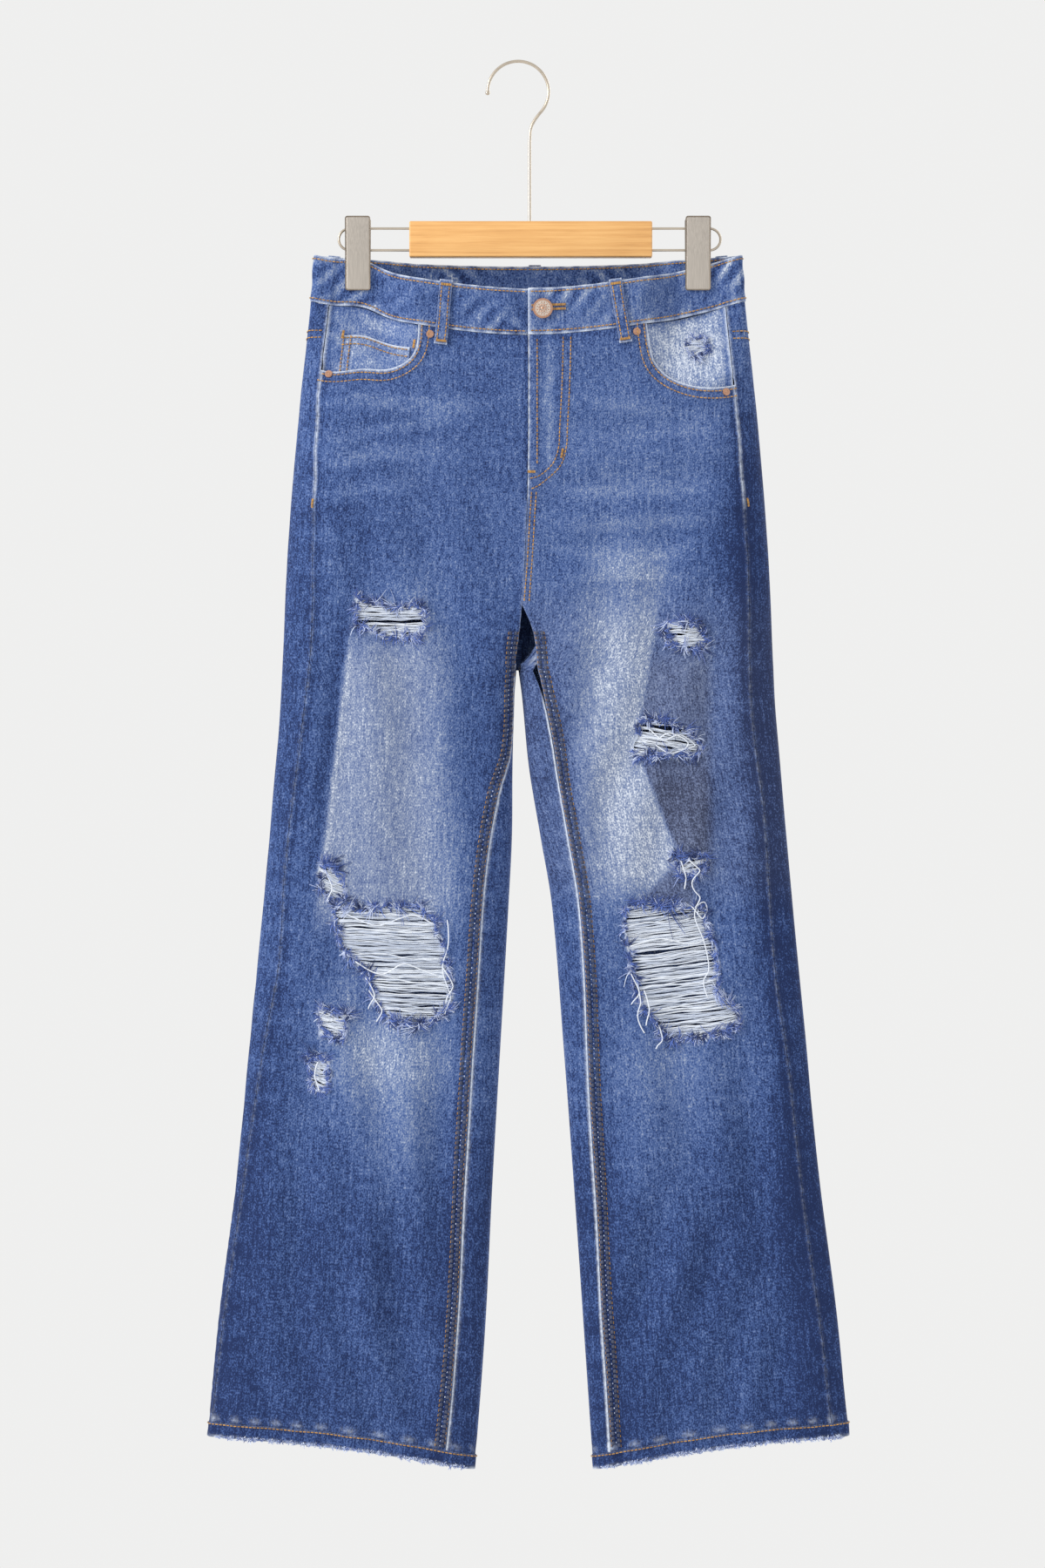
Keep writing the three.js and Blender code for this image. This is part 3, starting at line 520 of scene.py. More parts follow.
def grey_fade_and_painted_shade(side, points):
    """How grey rather than blue the cloth is: the sanded thighs, and painted shade in the folds
    beside them.
    """
    x, y, z = points[..., 0], points[..., 1], points[..., 2]
    crease_x = thigh_edge(side, z)
    if side == RIGHT:
        thigh = between(x, crease_x, -70, 4, 22) * between(z, -742, -500, 26, 26)
        return 0.35 * thigh * (y < 0)
    # Painted shade of the folds beside the left thigh, and of the fold above the knee, is greyed.
    shade = between(x, crease_x, 166, 2.5, 7) * between(z, -705, -515, 14, 18)
    grey = 0.2 + (0.35 + 0.2 * ease(-590, -640, z)) * shade
    grey = grey * between(z, -722, -468, 26, 34)
    return mix(grey, 0.6, knee_fold_painted_shade(x, z)) * (y < 0)


def worn(side, level, length):
    """How white the cloth is rubbed on its seams and edges."""
    from_out, from_in = from_seams(side, level, length)
    marks = 0.5 + 0.5 * seam_pucker(level)
    hips = 1 - ease(-370, -400, level)
    wear = (0.22 + 0.2 * marks + 0.55 * hips) * bell(from_out + 0.6, 1.1)
    chain = 0.5 + 0.5 * chain_marks(level)
    wear = wear + on_legs(level) * (0.85 + 0.15 * chain) * bell(from_in + 1.0, 1.3)
    hem = 0.5 + 0.5 * hem_marks(length)
    wear = wear + 0.5 * hem * bell(level - PANEL_BOTTOM - 3.5, 3.0)
    fly = ease(-376, -360, level)
    if side == LEFT:
        wear = wear + fly * (0.6 + 0.4 * marks) * bell(length, 1.6)
    wear = wear + (1 - fly) * ease(SADDLE, CROTCH, level) * 0.3 * bell(length, 2)
    return np.clip(wear, 0, 1)

# %% [markdown]
# ## The denim material
# Denim is woven from blue warp and white weft, so up close it is a speckle of both, with thin
# streaks down the warp. The attribute of fade and painted shade picks a place on a colour ramp,
# noise at several sizes shifts it, the dull attribute greys it for the sanded thighs and the
# painted shade beside them, and the worn attribute mixes in bare white thread. The pattern reads
# the piece's own UV map, laid out in metres, so it turns and folds with the cloth.

# %% Node helpers
def new_material(name, roughness=0.8, metallic=0.0):
    material = bpy.data.materials.new(name)
    material.use_nodes = True
    shader = material.node_tree.nodes["Principled BSDF"]
    shader.inputs["Roughness"].default_value = roughness
    shader.inputs["Metallic"].default_value = metallic
    return material, material.node_tree, shader


def node(tree, kind, inputs=(), **settings):
    made = tree.nodes.new(kind)
    for key, value in settings.items():
        setattr(made, key, value)
    for key, value in dict(inputs).items():
        if isinstance(value, bpy.types.NodeSocket):
            tree.links.new(value, made.inputs[key])
        else:
            made.inputs[key].default_value = value
    return made


def maths(tree, operation, a, b=0.0, c=0.0, clamp=False):
    made = tree.nodes.new("ShaderNodeMath")
    made.operation = operation
    made.use_clamp = clamp
    for socket, value in zip(made.inputs, (a, b, c)):
        if isinstance(value, bpy.types.NodeSocket):
            tree.links.new(value, socket)
        else:
            socket.default_value = value
    return made.outputs[0]


def noise(tree, vector, scale, detail=2.0, stretch=(1, 1, 1)):
    placed = node(tree, "ShaderNodeMapping", {"Vector": vector, "Scale": stretch})
    made = node(tree, "ShaderNodeTexNoise", {"Vector": placed.outputs[0], "Scale": scale,
                                             "Detail": detail})
    return made.outputs[0]


def ramp(tree, factor, stops):
    made = node(tree, "ShaderNodeValToRGB", {"Fac": factor})
    band = made.color_ramp
    while len(band.elements) < len(stops):
        band.elements.new(0.5)
    for element, (place, colour) in zip(band.elements, stops):
        element.position = place
        element.color = (*colour, 1)
    return made.outputs[0]


def blend_colours(tree, factor, a, b, kind="MIX"):
    made = tree.nodes.new("ShaderNodeMix")
    made.data_type = "RGBA"
    made.blend_type = kind
    for socket, value in ((made.inputs[0], factor), (made.inputs[6], a), (made.inputs[7], b)):
        if isinstance(value, bpy.types.NodeSocket):
            tree.links.new(value, socket)
        else:
            socket.default_value = value if isinstance(value, float) else (*value, 1)
    return made.outputs[2]


def bump(tree, shader, height, distance, strength=1.0):
    made = node(tree, "ShaderNodeBump", {"Height": height, "Distance": distance,
                                         "Strength": strength})
    tree.links.new(made.outputs[0], shader.inputs["Normal"])


def object_place(tree):
    return node(tree, "ShaderNodeTexCoord").outputs["Object"]


# %% Denim
DENIM_TONES = [
    (0.00, (0.016, 0.030, 0.100)), (0.15, (0.032, 0.062, 0.185)), (0.31, (0.060, 0.110, 0.285)),
    (0.50, (0.120, 0.180, 0.370)), (0.70, (0.225, 0.282, 0.430)), (0.85, (0.360, 0.420, 0.560)),
    (1.00, (0.640, 0.690, 0.780)),
]


def painted(tree, name):
    """What was painted on the vertices under this name."""
    return node(tree, "ShaderNodeAttribute", attribute_name=name).outputs["Fac"]


def denim_material(name, tones):
    material, tree, shader = new_material(name, roughness=0.86)
    shader.inputs["Sheen Weight"].default_value = 0.05
    shader.inputs["Sheen Roughness"].default_value = 0.5
    shader.inputs["Specular IOR Level"].default_value = 0.12
    uv = node(tree, "ShaderNodeUVMap", uv_map="weave").outputs[0]
    wear = painted(tree, "wear")
    speckle = noise(tree, uv, 780, 2.0, (1, 0.75, 1))
    flecks = noise(tree, uv, 330, 3.0, (1, 0.45, 1))
    streaks = noise(tree, uv, 620, 1.0, (1, 0.04, 1))
    mottle = noise(tree, uv, 90, 3.0, (1, 0.5, 1))
    clouds = noise(tree, uv, 15, 2.0, (1, 0.5, 1))
    patterns = ((speckle, 1.38), (flecks, 0.74), (streaks, 0.40), (mottle, 0.24), (clouds, 0.26))
    # The fade, with painted shade and a painted crease highlight, from the vertices.
    tone = painted(tree, "wash_and_painted_shade")
    for pattern, amount in patterns:
        tone = maths(tree, "MULTIPLY_ADD", pattern, amount, tone)
    middle = sum(amount for _, amount in patterns) / 2
    tone = maths(tree, "SUBTRACT", tone, middle, clamp=True)
    # The dull attribute greys the colour for the sanded thighs and for the painted shade beside
    # them.
    saturation = maths(tree, "MULTIPLY_ADD", painted(tree, "dull"), -0.45, 1.0)
    colour = node(tree, "ShaderNodeHueSaturation", {"Color": ramp(tree, tone, tones),
                                                    "Saturation": saturation}).outputs[0]
    rubbed = maths(tree, "MULTIPLY_ADD", noise(tree, uv, 420, 2.0), 1.6, -0.8)
    rubbed = maths(tree, "ADD", rubbed, maths(tree, "MULTIPLY", wear, 1.35))
    rubbed = maths(tree, "MULTIPLY", rubbed, wear, clamp=True)
    colour = blend_colours(tree, rubbed, colour, (0.62, 0.68, 0.79))
    tree.links.new(colour, shader.inputs["Base Color"])
    turned = node(tree, "ShaderNodeMapping", {"Vector": uv, "Rotation": (0, 0, 0.46)})
    twill = node(tree, "ShaderNodeTexWave", {"Vector": turned.outputs[0], "Scale": 175.0,
                                             "Distortion": 1.5, "Detail": 1.0})
    height = maths(tree, "MULTIPLY_ADD", twill.outputs["Fac"], 0.4, speckle)
    bump(tree, shader, height, 0.0005, 0.55)
    return material


denim = denim_material("washed denim", DENIM_TONES)
FACING_TONES = [(place, tuple(min(1, c * 1.06) for c in colour)) for place, colour in DENIM_TONES]
facing_denim = denim_material("bleached facing denim", FACING_TONES)


# %% Threads
def thread_material(name, *colours, roughness=0.8):
    """Cotton thread: its tone attribute runs through the colours, from dark to light."""
    material, tree, shader = new_material(name, roughness)
    shader.inputs["Sheen Weight"].default_value = 0.2
    fuzz = noise(tree, object_place(tree), 1400, 2.0)
    tone = maths(tree, "SUBTRACT", painted(tree, "tone"), 0.25)
    tone = maths(tree, "MULTIPLY_ADD", fuzz, 0.5, tone, clamp=True)
    stops = [(i / (len(colours) - 1), colour) for i, colour in enumerate(colours)]
    tree.links.new(ramp(tree, tone, stops), shader.inputs["Base Color"])
    bump(tree, shader, fuzz, 0.0002, 0.5)
    return material


weft = thread_material("bare weft", (0.40, 0.47, 0.62), (0.84, 0.88, 0.94))
# Its darkest colour is dark blue fibre and painted shade between the frayed tufts.
frayed = thread_material("frayed ends", (0.010, 0.022, 0.10), (0.085, 0.16, 0.50),
                         (0.72, 0.79, 0.92))
gold = thread_material("gold topstitch", (0.16, 0.075, 0.018), (0.62, 0.33, 0.075), roughness=0.55)
navy = thread_material("navy topstitch", (0.012, 0.016, 0.045), (0.06, 0.075, 0.14), roughness=0.6)

# %% [markdown]
# ## Laying pieces on the cloth
# Each panel is a grid of places: a level and a length for every vertex. The grid becomes a
# mesh, its holes are cut, and a Solidify modifier gives it the wall of real denim. Cutting
# before the wall is made keeps the hole's edge clean, and the cloth keeps its thickness there.

# %% Grids, holes and walls
def make_object(name, points, faces, material):
    mesh = bpy.data.meshes.new(name)
    mesh.from_pydata((np.asarray(points) * MM).tolist(), [], faces)
    mesh.update()
    made = bpy.data.objects.new(name, mesh)
    bpy.context.scene.collection.objects.link(made)
    mesh.materials.append(material)
    return made


def set_attribute(made, name, values):
    layer = made.data.attributes.new(name, "FLOAT", "POINT")
    layer.data.foreach_set("value", np.asarray(values, np.float32).ravel())


def paint(made, wash_and_painted_shade, wear, dull):
    for name, values in (("wash_and_painted_shade", wash_and_painted_shade), ("wear", wear), ("dull", dull)):
        set_attribute(made, name, values)


def grid_quads(rows, columns):
    """The vertex numbers of each cell of a grid."""
    index = np.arange(rows * columns).reshape(rows, columns)
    return np.stack([index[:-1, :-1], index[1:, :-1], index[1:, 1:], index[:-1, 1:]], -1)


def set_weave(made, across, down):
    layer = made.data.uv_layers.new(name="weave")
    corner = np.empty(len(made.data.loops), int)
    made.data.loops.foreach_get("vertex_index", corner)
    flat = np.stack([across.ravel()[corner], down.ravel()[corner]], -1) * MM
    layer.data.foreach_set("uv", flat.astype(np.float32).ravel())


def only(made):
    bpy.ops.object.select_all(action="DESELECT")
    made.select_set(True)
    bpy.context.view_layer.objects.active = made


def apply_modifier(made, kind, **settings):
    only(made)
    modifier = made.modifiers.new(kind, kind)
    for key, value in settings.items():
        setattr(modifier, key, value)
    bpy.ops.object.modifier_apply(modifier=modifier.name)


def bevel_edges(made, width, segments=2, degrees=60):
    apply_modifier(made, "BEVEL", width=width * MM, segments=segments, limit_method="ANGLE",
                   angle_limit=math.radians(degrees))


def smooth(made, degrees=50):
    only(made)
    bpy.ops.object.shade_smooth_by_angle(angle=math.radians(degrees))


def within(outline, x, z):
    """Which points are inside a closed outline."""
    inside = np.zeros(x.shape, bool)
    for (x1, z1), (x2, z2) in zip(outline, np.roll(outline, -1, axis=0)):
        if z1 == z2:
            continue
        crosses = (z1 > z) != (z2 > z)
        inside ^= crosses & (x < (x2 - x1) * (z - z1) / (z2 - z1) + x1)
    return inside


def nearest_on(outline, x, z):
    """The nearest points of an outline."""
    best = np.full(x.shape, 1e9)
    found = np.stack([x, z], -1)
    for a, b in zip(outline, np.roll(outline, -1, axis=0)):
        way = b - a
        t = ((x - a[0]) * way[0] + (z - a[1]) * way[1]) / max(way @ way, 1e-9)
        spot = a + np.clip(t, 0, 1)[..., None] * way
        away = np.hypot(x - spot[..., 0], z - spot[..., 1])
        nearer = away < best
        best = np.where(nearer, away, best)
        found = np.where(nearer[..., None], spot, found)
    return found, best


def ends_dense(count, amount=0.45):
    """Shares from 0 to 1 that lie closer together near both ends."""
    t = np.linspace(0, 1, count + 1)
    return mix(t, (1 - np.cos(np.pi * t)) / 2, amount)


cuts = {}     # each piece's flat size and area, in metres


def flat_area(level, length, keep):
    """The cut's flat area in square metres, over the cells that are kept."""
    corner = np.stack([length, level], -1)
    one, two = corner[1:, 1:] - corner[:-1, :-1], corner[1:, :-1] - corner[:-1, 1:]
    cells = np.abs(one[..., 0] * two[..., 1] - one[..., 1] * two[..., 0]) / 2
    return float((cells * keep).sum()) * MM ** 2


def cut_hole(side, outline, level, length, points):
    """Moves the vertices inside a hole to its edge: (level, length, inside, distance)."""
    x, z = points[..., 0], points[..., 2]
    on_front = length < front_length(side, level, np.ones(level.shape))
    inside = within(outline, x, z) & on_front
    spot, away = nearest_on(outline, x, z)
    away = np.where(on_front, np.where(inside, 0, away), 1e9)
    new_level, new_length = front_spot(side, spot[..., 0], spot[..., 1])
    return (np.where(inside, new_level, level), np.where(inside, new_length, length), inside,
            away)


def lay(name, side, level, length, node_name, material=denim, lift=0.0, thickness=DENIM,
        holes=(), wear=None, tone=None, finish_edge=0.0, collapsed=0):
    """A piece of cloth on one half, from grids of levels and lengths."""
    level, length = np.broadcast_arrays(np.asarray(level, float), np.asarray(length, float))
    points, _ = cloth(side, level, length, lift)
    keep = np.ones((level.shape[0] - 1, level.shape[1] - 1), bool)
    if collapsed:
        keep[:collapsed, -WRAP:] = False
    near_hole = np.full(level.shape, 1e9)
    for outline in holes:
        level, length, inside, away = cut_hole(side, outline, level, length, points)
        corners = (inside[:-1, :-1], inside[1:, :-1], inside[1:, 1:], inside[:-1, 1:])
        keep &= ~np.stack(corners).all(0)
        near_hole = np.minimum(near_hole, away)
        points = cloth(side, level, length, lift)[0]
    flat = [float(np.ptp(length, axis=1).max()) * MM, float(np.ptp(level, axis=0).max()) * MM]
    cuts[name] = (flat, flat_area(level, length, keep))
    quads = grid_quads(*level.shape)
    if side == RIGHT:
        quads = quads[..., ::-1]
    quads = quads[keep]
    used = np.unique(quads)
    renumber = np.zeros(level.size, int)
    renumber[used] = np.arange(len(used))
    made = make_object(name, points.reshape(-1, 3)[used], renumber[quads].tolist(), material)
    set_weave(made, length.ravel()[used] * side, level.ravel()[used])
    wash_and_painted_shade = wash_and_painted_shade_at(side, points) if tone is None else np.broadcast_to(tone, level.shape)
    around = girth(side, level)
    wrapped = np.where(length > around + 0.001, length - around, length)
    # Stripes beside the seams, and painted shadow under the waistband and beside the fly, darken
    # the tone.
    wash_and_painted_shade = wash_and_painted_shade - seam_stripes_and_painted_shadow(side, level, wrapped)
    rubbed = worn(side, level, wrapped) if wear is None else np.broadcast_to(wear, level.shape)
    if holes:
        rubbed = np.maximum(rubbed, 0.9 * bell(near_hole, 1.6))
        wash_and_painted_shade = wash_and_painted_shade + 0.07 * bell(near_hole, 5)
    paint(made, *(values.ravel()[used] for values in (wash_and_painted_shade, rubbed, grey_fade_and_painted_shade(side, points))))
    apply_modifier(made, "SOLIDIFY", thickness=thickness * MM, offset=0.0)
    if finish_edge:
        bevel_edges(made, finish_edge)
    smooth(made)
    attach(made, "root")
    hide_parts(node_name)
    lo, hi = (np.array(corner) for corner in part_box(node_name))
    mine = np.array([v.co for v in made.data.vertices])
    apart = np.abs(np.stack([mine.min(0) - lo, mine.max(0) - hi])).max() / MM
    print(f"{name}: {len(made.data.polygons)} faces, within {apart:.1f} mm of its frame")


# %% [markdown]
# ## Rips
# A rip is a hole whose crosswise white threads are still there, with blue lengthwise threads
# frayed short along its top and bottom. Each outline is drawn as a rough shape in front view
# and is roughened by small random steps, so that the edge is ragged before any fray is added.

# %% Outlines of the rips and pocket mouths
RIPS = {
    RIGHT: {
        "thigh": [(-140, -466), (-126, -470), (-106, -474), (-82, -473), (-81, -499), (-106, -501),
                  (-125, -496), (-141, -488)],
        "knee": [(-160, -732), (-151, -735), (-117, -733), (-85, -733), (-73, -741), (-69, -752),
                 (-66, -767), (-61, -782), (-57, -795), (-58, -821), (-72, -828), (-90, -836),
                 (-113, -830), (-123, -817), (-126, -801), (-134, -788), (-147, -776),
                 (-156, -761)],
        "upper side": [(-172, -697), (-163, -696), (-153, -709), (-149, -726), (-162, -729),
                       (-171, -715)],
        "lower side": [(-173, -820), (-148, -826), (-151, -847), (-171, -843)],
        "bottom side": [(-182, -861), (-163, -866), (-165, -892), (-179, -889)],
    },
    LEFT: {
        "knee": [(92, -735), (106, -729), (147, -733), (159, -735), (164, -748), (170, -767),
                 (173, -785), (172, -808), (186, -817), (191, -827), (191, -838), (170, -843),
                 (141, -849), (126, -845), (118, -831), (106, -816), (98, -788), (94, -763)],
        "thigh": [(105, -573), (121, -571), (140, -577), (152, -585), (158, -595), (156, -602),
                  (132, -601), (103, -603), (100, -595), (104, -586)],
        "upper": [(127, -487), (140, -489), (157, -487), (161, -497), (163, -509), (149, -510),
                  (136, -506), (128, -505)],
        "side": [(135, -688), (147, -690), (161, -690), (165, -701), (155, -704), (143, -707),
                 (137, -701)],
    },
}


def ragged(outline, step=2.6, jitter=1.1):
    """The outline with points every few millimetres, each moved a little at random."""
    points = []
    for a, b in zip(np.array(outline, float), np.roll(np.array(outline, float), -1, axis=0)):
        count = max(int(np.hypot(*(b - a)) / step), 1)
        points += [mix(a, b, k / count) for k in range(count)]
    return np.array(points) + chance.normal(0, jitter, (len(points), 2)).clip(-2.2, 2.2)


rips = {side: {word: ragged(shape) for word, shape in RIPS[side].items()} for side in RIPS}
POCKET = {LEFT: (0.578, 70.0, 0.45), RIGHT: (0.522, 57.5, 0.39)}


def mouth_line(side, count=60):
    """Levels and lengths along a pocket mouth, from the waistband to the side seam."""
    start, depth, bow = POCKET[side]
    across = np.linspace(0, 1, count) ** 1.8
    level = WAIST_BOTTOM - depth * (1 - (1 - across) ** 2.2) ** bow
    return level, mix(start, 1, across) * outseam(side, level)


def mouth_outline(side):
    level, length = mouth_line(side)
    points = cloth(side, level, length)[0][:, [0, 2]]
    beyond = CENTRE_X + side * 225
    top = -150
    return np.vstack([points, [(beyond, points[-1, 1]), (beyond, top), (points[0, 0], top)]])


# %% Front panels
LAST_HIP = -430.0     # the lowest row that runs level to the centre seam


def seam_level(level):
    """Where a row at this level meets the inseam, which rises to the crotch."""
    hips = mix(LAST_HIP, CROTCH, (LAST_HIP - level) / (LAST_HIP - SADDLE))
    legs = level + (CROTCH - SADDLE) * np.clip(1 - (SADDLE - level) / 130, 0, 1) ** 2
    return np.where(level >= LAST_HIP, level, np.where(level >= SADDLE, hips, legs))


for side, word in SIDE_WORDS.items():
    rows = np.linspace(WAIST_BOTTOM - SEAM_GAP, PANEL_BOTTOM + SEAM_GAP / 2, 330)[:, None]
    across = ends_dense(76)[None, :]
    level = mix(seam_level(rows), rows, across)
    start = np.where(level >= CROTCH, 0, inseam(side, level) + SEAM_GAP / 2)
    length = mix(start, outseam(side, level) - SEAM_GAP / 2, across)
    holes = [mouth_outline(side), *rips[side].values()]
    lay(f"front_panel_{word}", side, level, length, f"front_{word}", holes=holes)

# %% Back panels
YOKE_SIDE, YOKE_CENTRE = 21.0, 68.0     # how tall a yoke is at its ends
FAN_END = -300.0                        # above it the rows fan out to the yoke's slope
BACK_COLUMNS = 48
WRAP = 8                                # more columns, round the inner end to the inseam
for side, word in SIDE_WORDS.items():
    across = np.concatenate([ends_dense(BACK_COLUMNS), np.ones(WRAP)])[None, :]
    turned = np.sin(np.pi / 2 * np.arange(1, WRAP + 1) / WRAP)
    wrapped = np.concatenate([np.zeros(BACK_COLUMNS + 1), turned])[None, :]
    top = WAIST_BOTTOM - mix(YOKE_SIDE, YOKE_CENTRE, across) - SEAM_GAP
    fan = mix(top, FAN_END, np.linspace(0, 1, 18)[:-1, None])
    hips = np.linspace(FAN_END, SADDLE, 46)[:-1]
    legs = np.linspace(SADDLE, PANEL_BOTTOM + SEAM_GAP / 2, 140)
    level = np.vstack([fan, np.broadcast_to(np.concatenate([hips, legs])[:, None],
                                            (len(hips) + len(legs), across.shape[1]))])
    end = np.maximum(inseam(side, seam_level(level)) - SEAM_GAP / 2, 0)
    length = mix(outseam(side, level) + SEAM_GAP / 2, girth(side, level), across)
    length = length + np.where(level <= SADDLE, (end + 0.002) * wrapped, 0)
    level = np.where(level <= SADDLE, mix(level, seam_level(level), wrapped), level)
    lay(f"back_panel_{word}", side, level, length, f"back_{word}",
        collapsed=len(fan) + len(hips))

# %% Yokes, hems and pockets
def shares_grid(columns, rows):
    return np.meshgrid(np.linspace(0, 1, columns + 1), np.linspace(0, 1, rows + 1))


def patch(name, side, u, v, level_at, length_at, node_name, **more):
    """A four-sided piece: level and length are given by shares across and down it."""
    level = level_at(u, v)
    lay(name, side, level, length_at(u, level), node_name, **more)


def yoke_seam(u):
    return WAIST_BOTTOM - mix(YOKE_SIDE, YOKE_CENTRE, u)


def along_edges(u, v, levels=(0.0, 1.0), reach=0.05, sides=False):
    """Wear along the edges across a piece, and down its sides."""
    wear = sum(bell(v - at, reach) for at in levels)
    if sides:
        wear = wear + sum(bell(u - at, reach * 1.2) for at in (0, 1))
    return np.clip(wear, 0, 1)


def facing_tone(side, x, z):
    """The wearer's left facing is sanded nearly white, and the right one less. Each darkens towards
    the side seam with painted shade inside the pocket.
    """
    # The last term on each side is painted shade inside the pocket, towards the side seam.
    if side == LEFT:
        tone = 0.68 + 0.22 * spread_of(x, z, 150, -250, 34, 26) - 0.22 * ease(172, 186, x)
    else:
        tone = 0.46 + 0.16 * spread_of(x, z, -112, -226, 34, 12) - 0.12 * ease(-160, -172, x)
    return tone + 0.05 * np.sin(x / 4.1 + z / 3.3) * spread_of(x, z, 150 * side, -240, 50, 30)


FACING_BELOW = 14     # the facing reaches this far below its pocket's mouth
for side, word in SIDE_WORDS.items():
    patch(f"yoke_cloth_{word}", side, *shares_grid(72, 18),
          lambda u, v: mix(WAIST_BOTTOM - SEAM_GAP, yoke_seam(u), v),
          lambda u, level: mix(outseam(side, level) + SEAM_GAP / 2, girth(side, level), u),
          f"yoke_{word}")
    u, v = shares_grid(220, 8)
    wear = 0.9 * along_edges(u, v, (1.0,), 0.2) * (0.75 + 0.25 * np.sin(u * 190))
    wear = wear + 0.3 * along_edges(u, v, (0.0,), 0.1)
    patch(f"turned_hem_{word}", side, u, v,
          lambda u, v: mix(PANEL_BOTTOM - SEAM_GAP / 2, HEM_BOTTOM, v),
          lambda u, level: u * girth(side, level), f"hem_{word}", thickness=2.4, finish_edge=0.6,
          wear=np.clip(wear, 0, 1))
    start, depth, _ = POCKET[side]
    u, v = shares_grid(60, 48)
    drop = (depth + FACING_BELOW) * v
    lift = -3.2 + 2.9 * ease(0.72, 0.97, u) * (1 - ease(depth - 12, depth - 1, drop))
    level = WAIST_BOTTOM - drop
    spots, _ = cloth(side, level, mix(start - 0.1, 1, u) * outseam(side, level))
    patch(f"pocket_side_{word}", side, u, v,
          lambda u, v: mix(WAIST_BOTTOM - SEAM_GAP, WAIST_BOTTOM - depth - FACING_BELOW, v),
          lambda u, level: mix(start - 0.1, 1, u) * (outseam(side, level) - 0.6),
          f"pocket_facing_{word}", lift=lift, thickness=1.1, material=facing_denim,
          wear=0.8 * bell(1 - u, 0.02), tone=facing_tone(side, spots[..., 0], spots[..., 2]))

# %% The seam allowance inside the seat
ALLOWANCE = ((LEFT, 9.0), (LEFT, 4.0), (LEFT, 0.3), (RIGHT, 0.3), (RIGHT, 4.0), (RIGHT, 9.0))


def seat_allowance():
    """A strip behind the centre back seam, which closes it down to the crotch."""
    level = np.linspace(-290, SADDLE - 3, 60)
    columns = [cloth(part, level, girth(part, level) - inset, -1.7)[0]
               for part, inset in ALLOWANCE]
    points = np.stack(columns, 1)
    shape = points.shape[:2]
    made = make_object("seat_seam_allowance", points.reshape(-1, 3),
                       grid_quads(*shape).reshape(-1, 4).tolist(), denim)
    set_weave(made, np.broadcast_to([0, 5, 9, 10, 14, 19], shape),
              np.broadcast_to(level[:, None], shape))
    paint(made, np.full(shape, 0.12), np.zeros(shape), np.zeros(shape))
    apply_modifier(made, "SOLIDIFY", thickness=1.0 * MM, offset=0.0)
    smooth(made)
    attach(made, "root")
    width, height = 19 * MM, float(np.ptp(level)) * MM
    cuts[made.name] = ([width, height], width * height)


seat_allowance()

# %% Back pockets
POCKET_TOP, POCKET_HEIGHT = -298, 145     # the height is that of its pointed middle
POCKET_INNER, POCKET_OUTER = 28, 158      # its top corners, from the centre back seam
POCKET_POINT, POCKET_SLOPE = 16, 14       # drop of the point, and of the top edge


def back_pocket_level(u, v):
    down = v * (POCKET_HEIGHT - POCKET_POINT * np.abs(2 * u - 1))
    return POCKET_TOP + POCKET_SLOPE * (1 - u) - down


def back_pocket_length(side, u, level):
    return girth(side, level) - mix(POCKET_OUTER, POCKET_INNER + 0.06 * (POCKET_TOP - level), u)


for side, word in SIDE_WORDS.items():
    u, v = shares_grid(48, 54)
    patch(f"patch_pocket_{word}", side, u, v, back_pocket_level,
          lambda u, level: back_pocket_length(side, u, level), f"back_pocket_{word}", lift=1.9,
          finish_edge=0.4, wear=0.75 * along_edges(u, v, (0.0, 1.0), 0.014, True))

# %% Coin pocket
def coin_level(u, v):
    return mix(mix(-228, -233, u), -276, v)


def coin_length(u, level):
    return outseam(RIGHT, level) - mix(78, 14, u)


u, v = shares_grid(32, 24)
wear = 0.9 * along_edges(u, v, (0.0,), 0.05) + 0.5 * bell(1 - u, 0.03)
patch("coin_pocket_cloth", RIGHT, u, v, coin_level, coin_length, "coin_pocket", lift=-1.7,
      thickness=1.1, material=facing_denim, wear=np.clip(wear, 0, 1),
      tone=0.56 + 0.05 * np.sin(9 * u + 4 * v))

# %% [markdown]
# ## Waistband and belt loops
# The waistband is one strip of folded denim that starts at the button, goes round the back and
# ends under its own other end. Its folded edges are the palest part of any worn waistband, and
# thread tension puckers it, so its long edges get wear and a soft bevel.

# %% Waistband
def band_strip():
    v = np.concatenate([[0, 0.02, 0.06, 0.12], np.linspace(0.2, 0.8, 9), [0.88, 0.94, 0.98, 1]])
    level = mix(WAIST_TOP, WAIST_BOTTOM, v)[:, None]
    left = girth(LEFT, level) * np.linspace(0, 1, 200)[None, :-1]
    right = mix(girth(RIGHT, level), 20, np.linspace(0, 1, 190)[None, :])
    points, wash_and_painted_shade = [], []
    for side, length in ((LEFT, left), (RIGHT, right)):
        here, _ = cloth(side, level, length)
        points.append(here)
        wash_and_painted_shade.append(wash_and_painted_shade_at(side, here) + 0.05 * (here[..., 1] < 0) + 0.03)
    tail = [cloth(RIGHT, level, 10.0, -1.6)[0], cloth(RIGHT, level, 3.0, -3.4)[0],
            cloth(LEFT, level, 8.0, -4.6)[0], cloth(LEFT, level, 17.0, -4.4)[0],
            cloth(LEFT, level, 34.0, -3.8)[0]]
    points += tail
    wash_and_painted_shade += [np.full(level.shape, 0.3)] * len(tail)
    return v, np.concatenate(points, 1), np.concatenate(wash_and_painted_shade, 1)


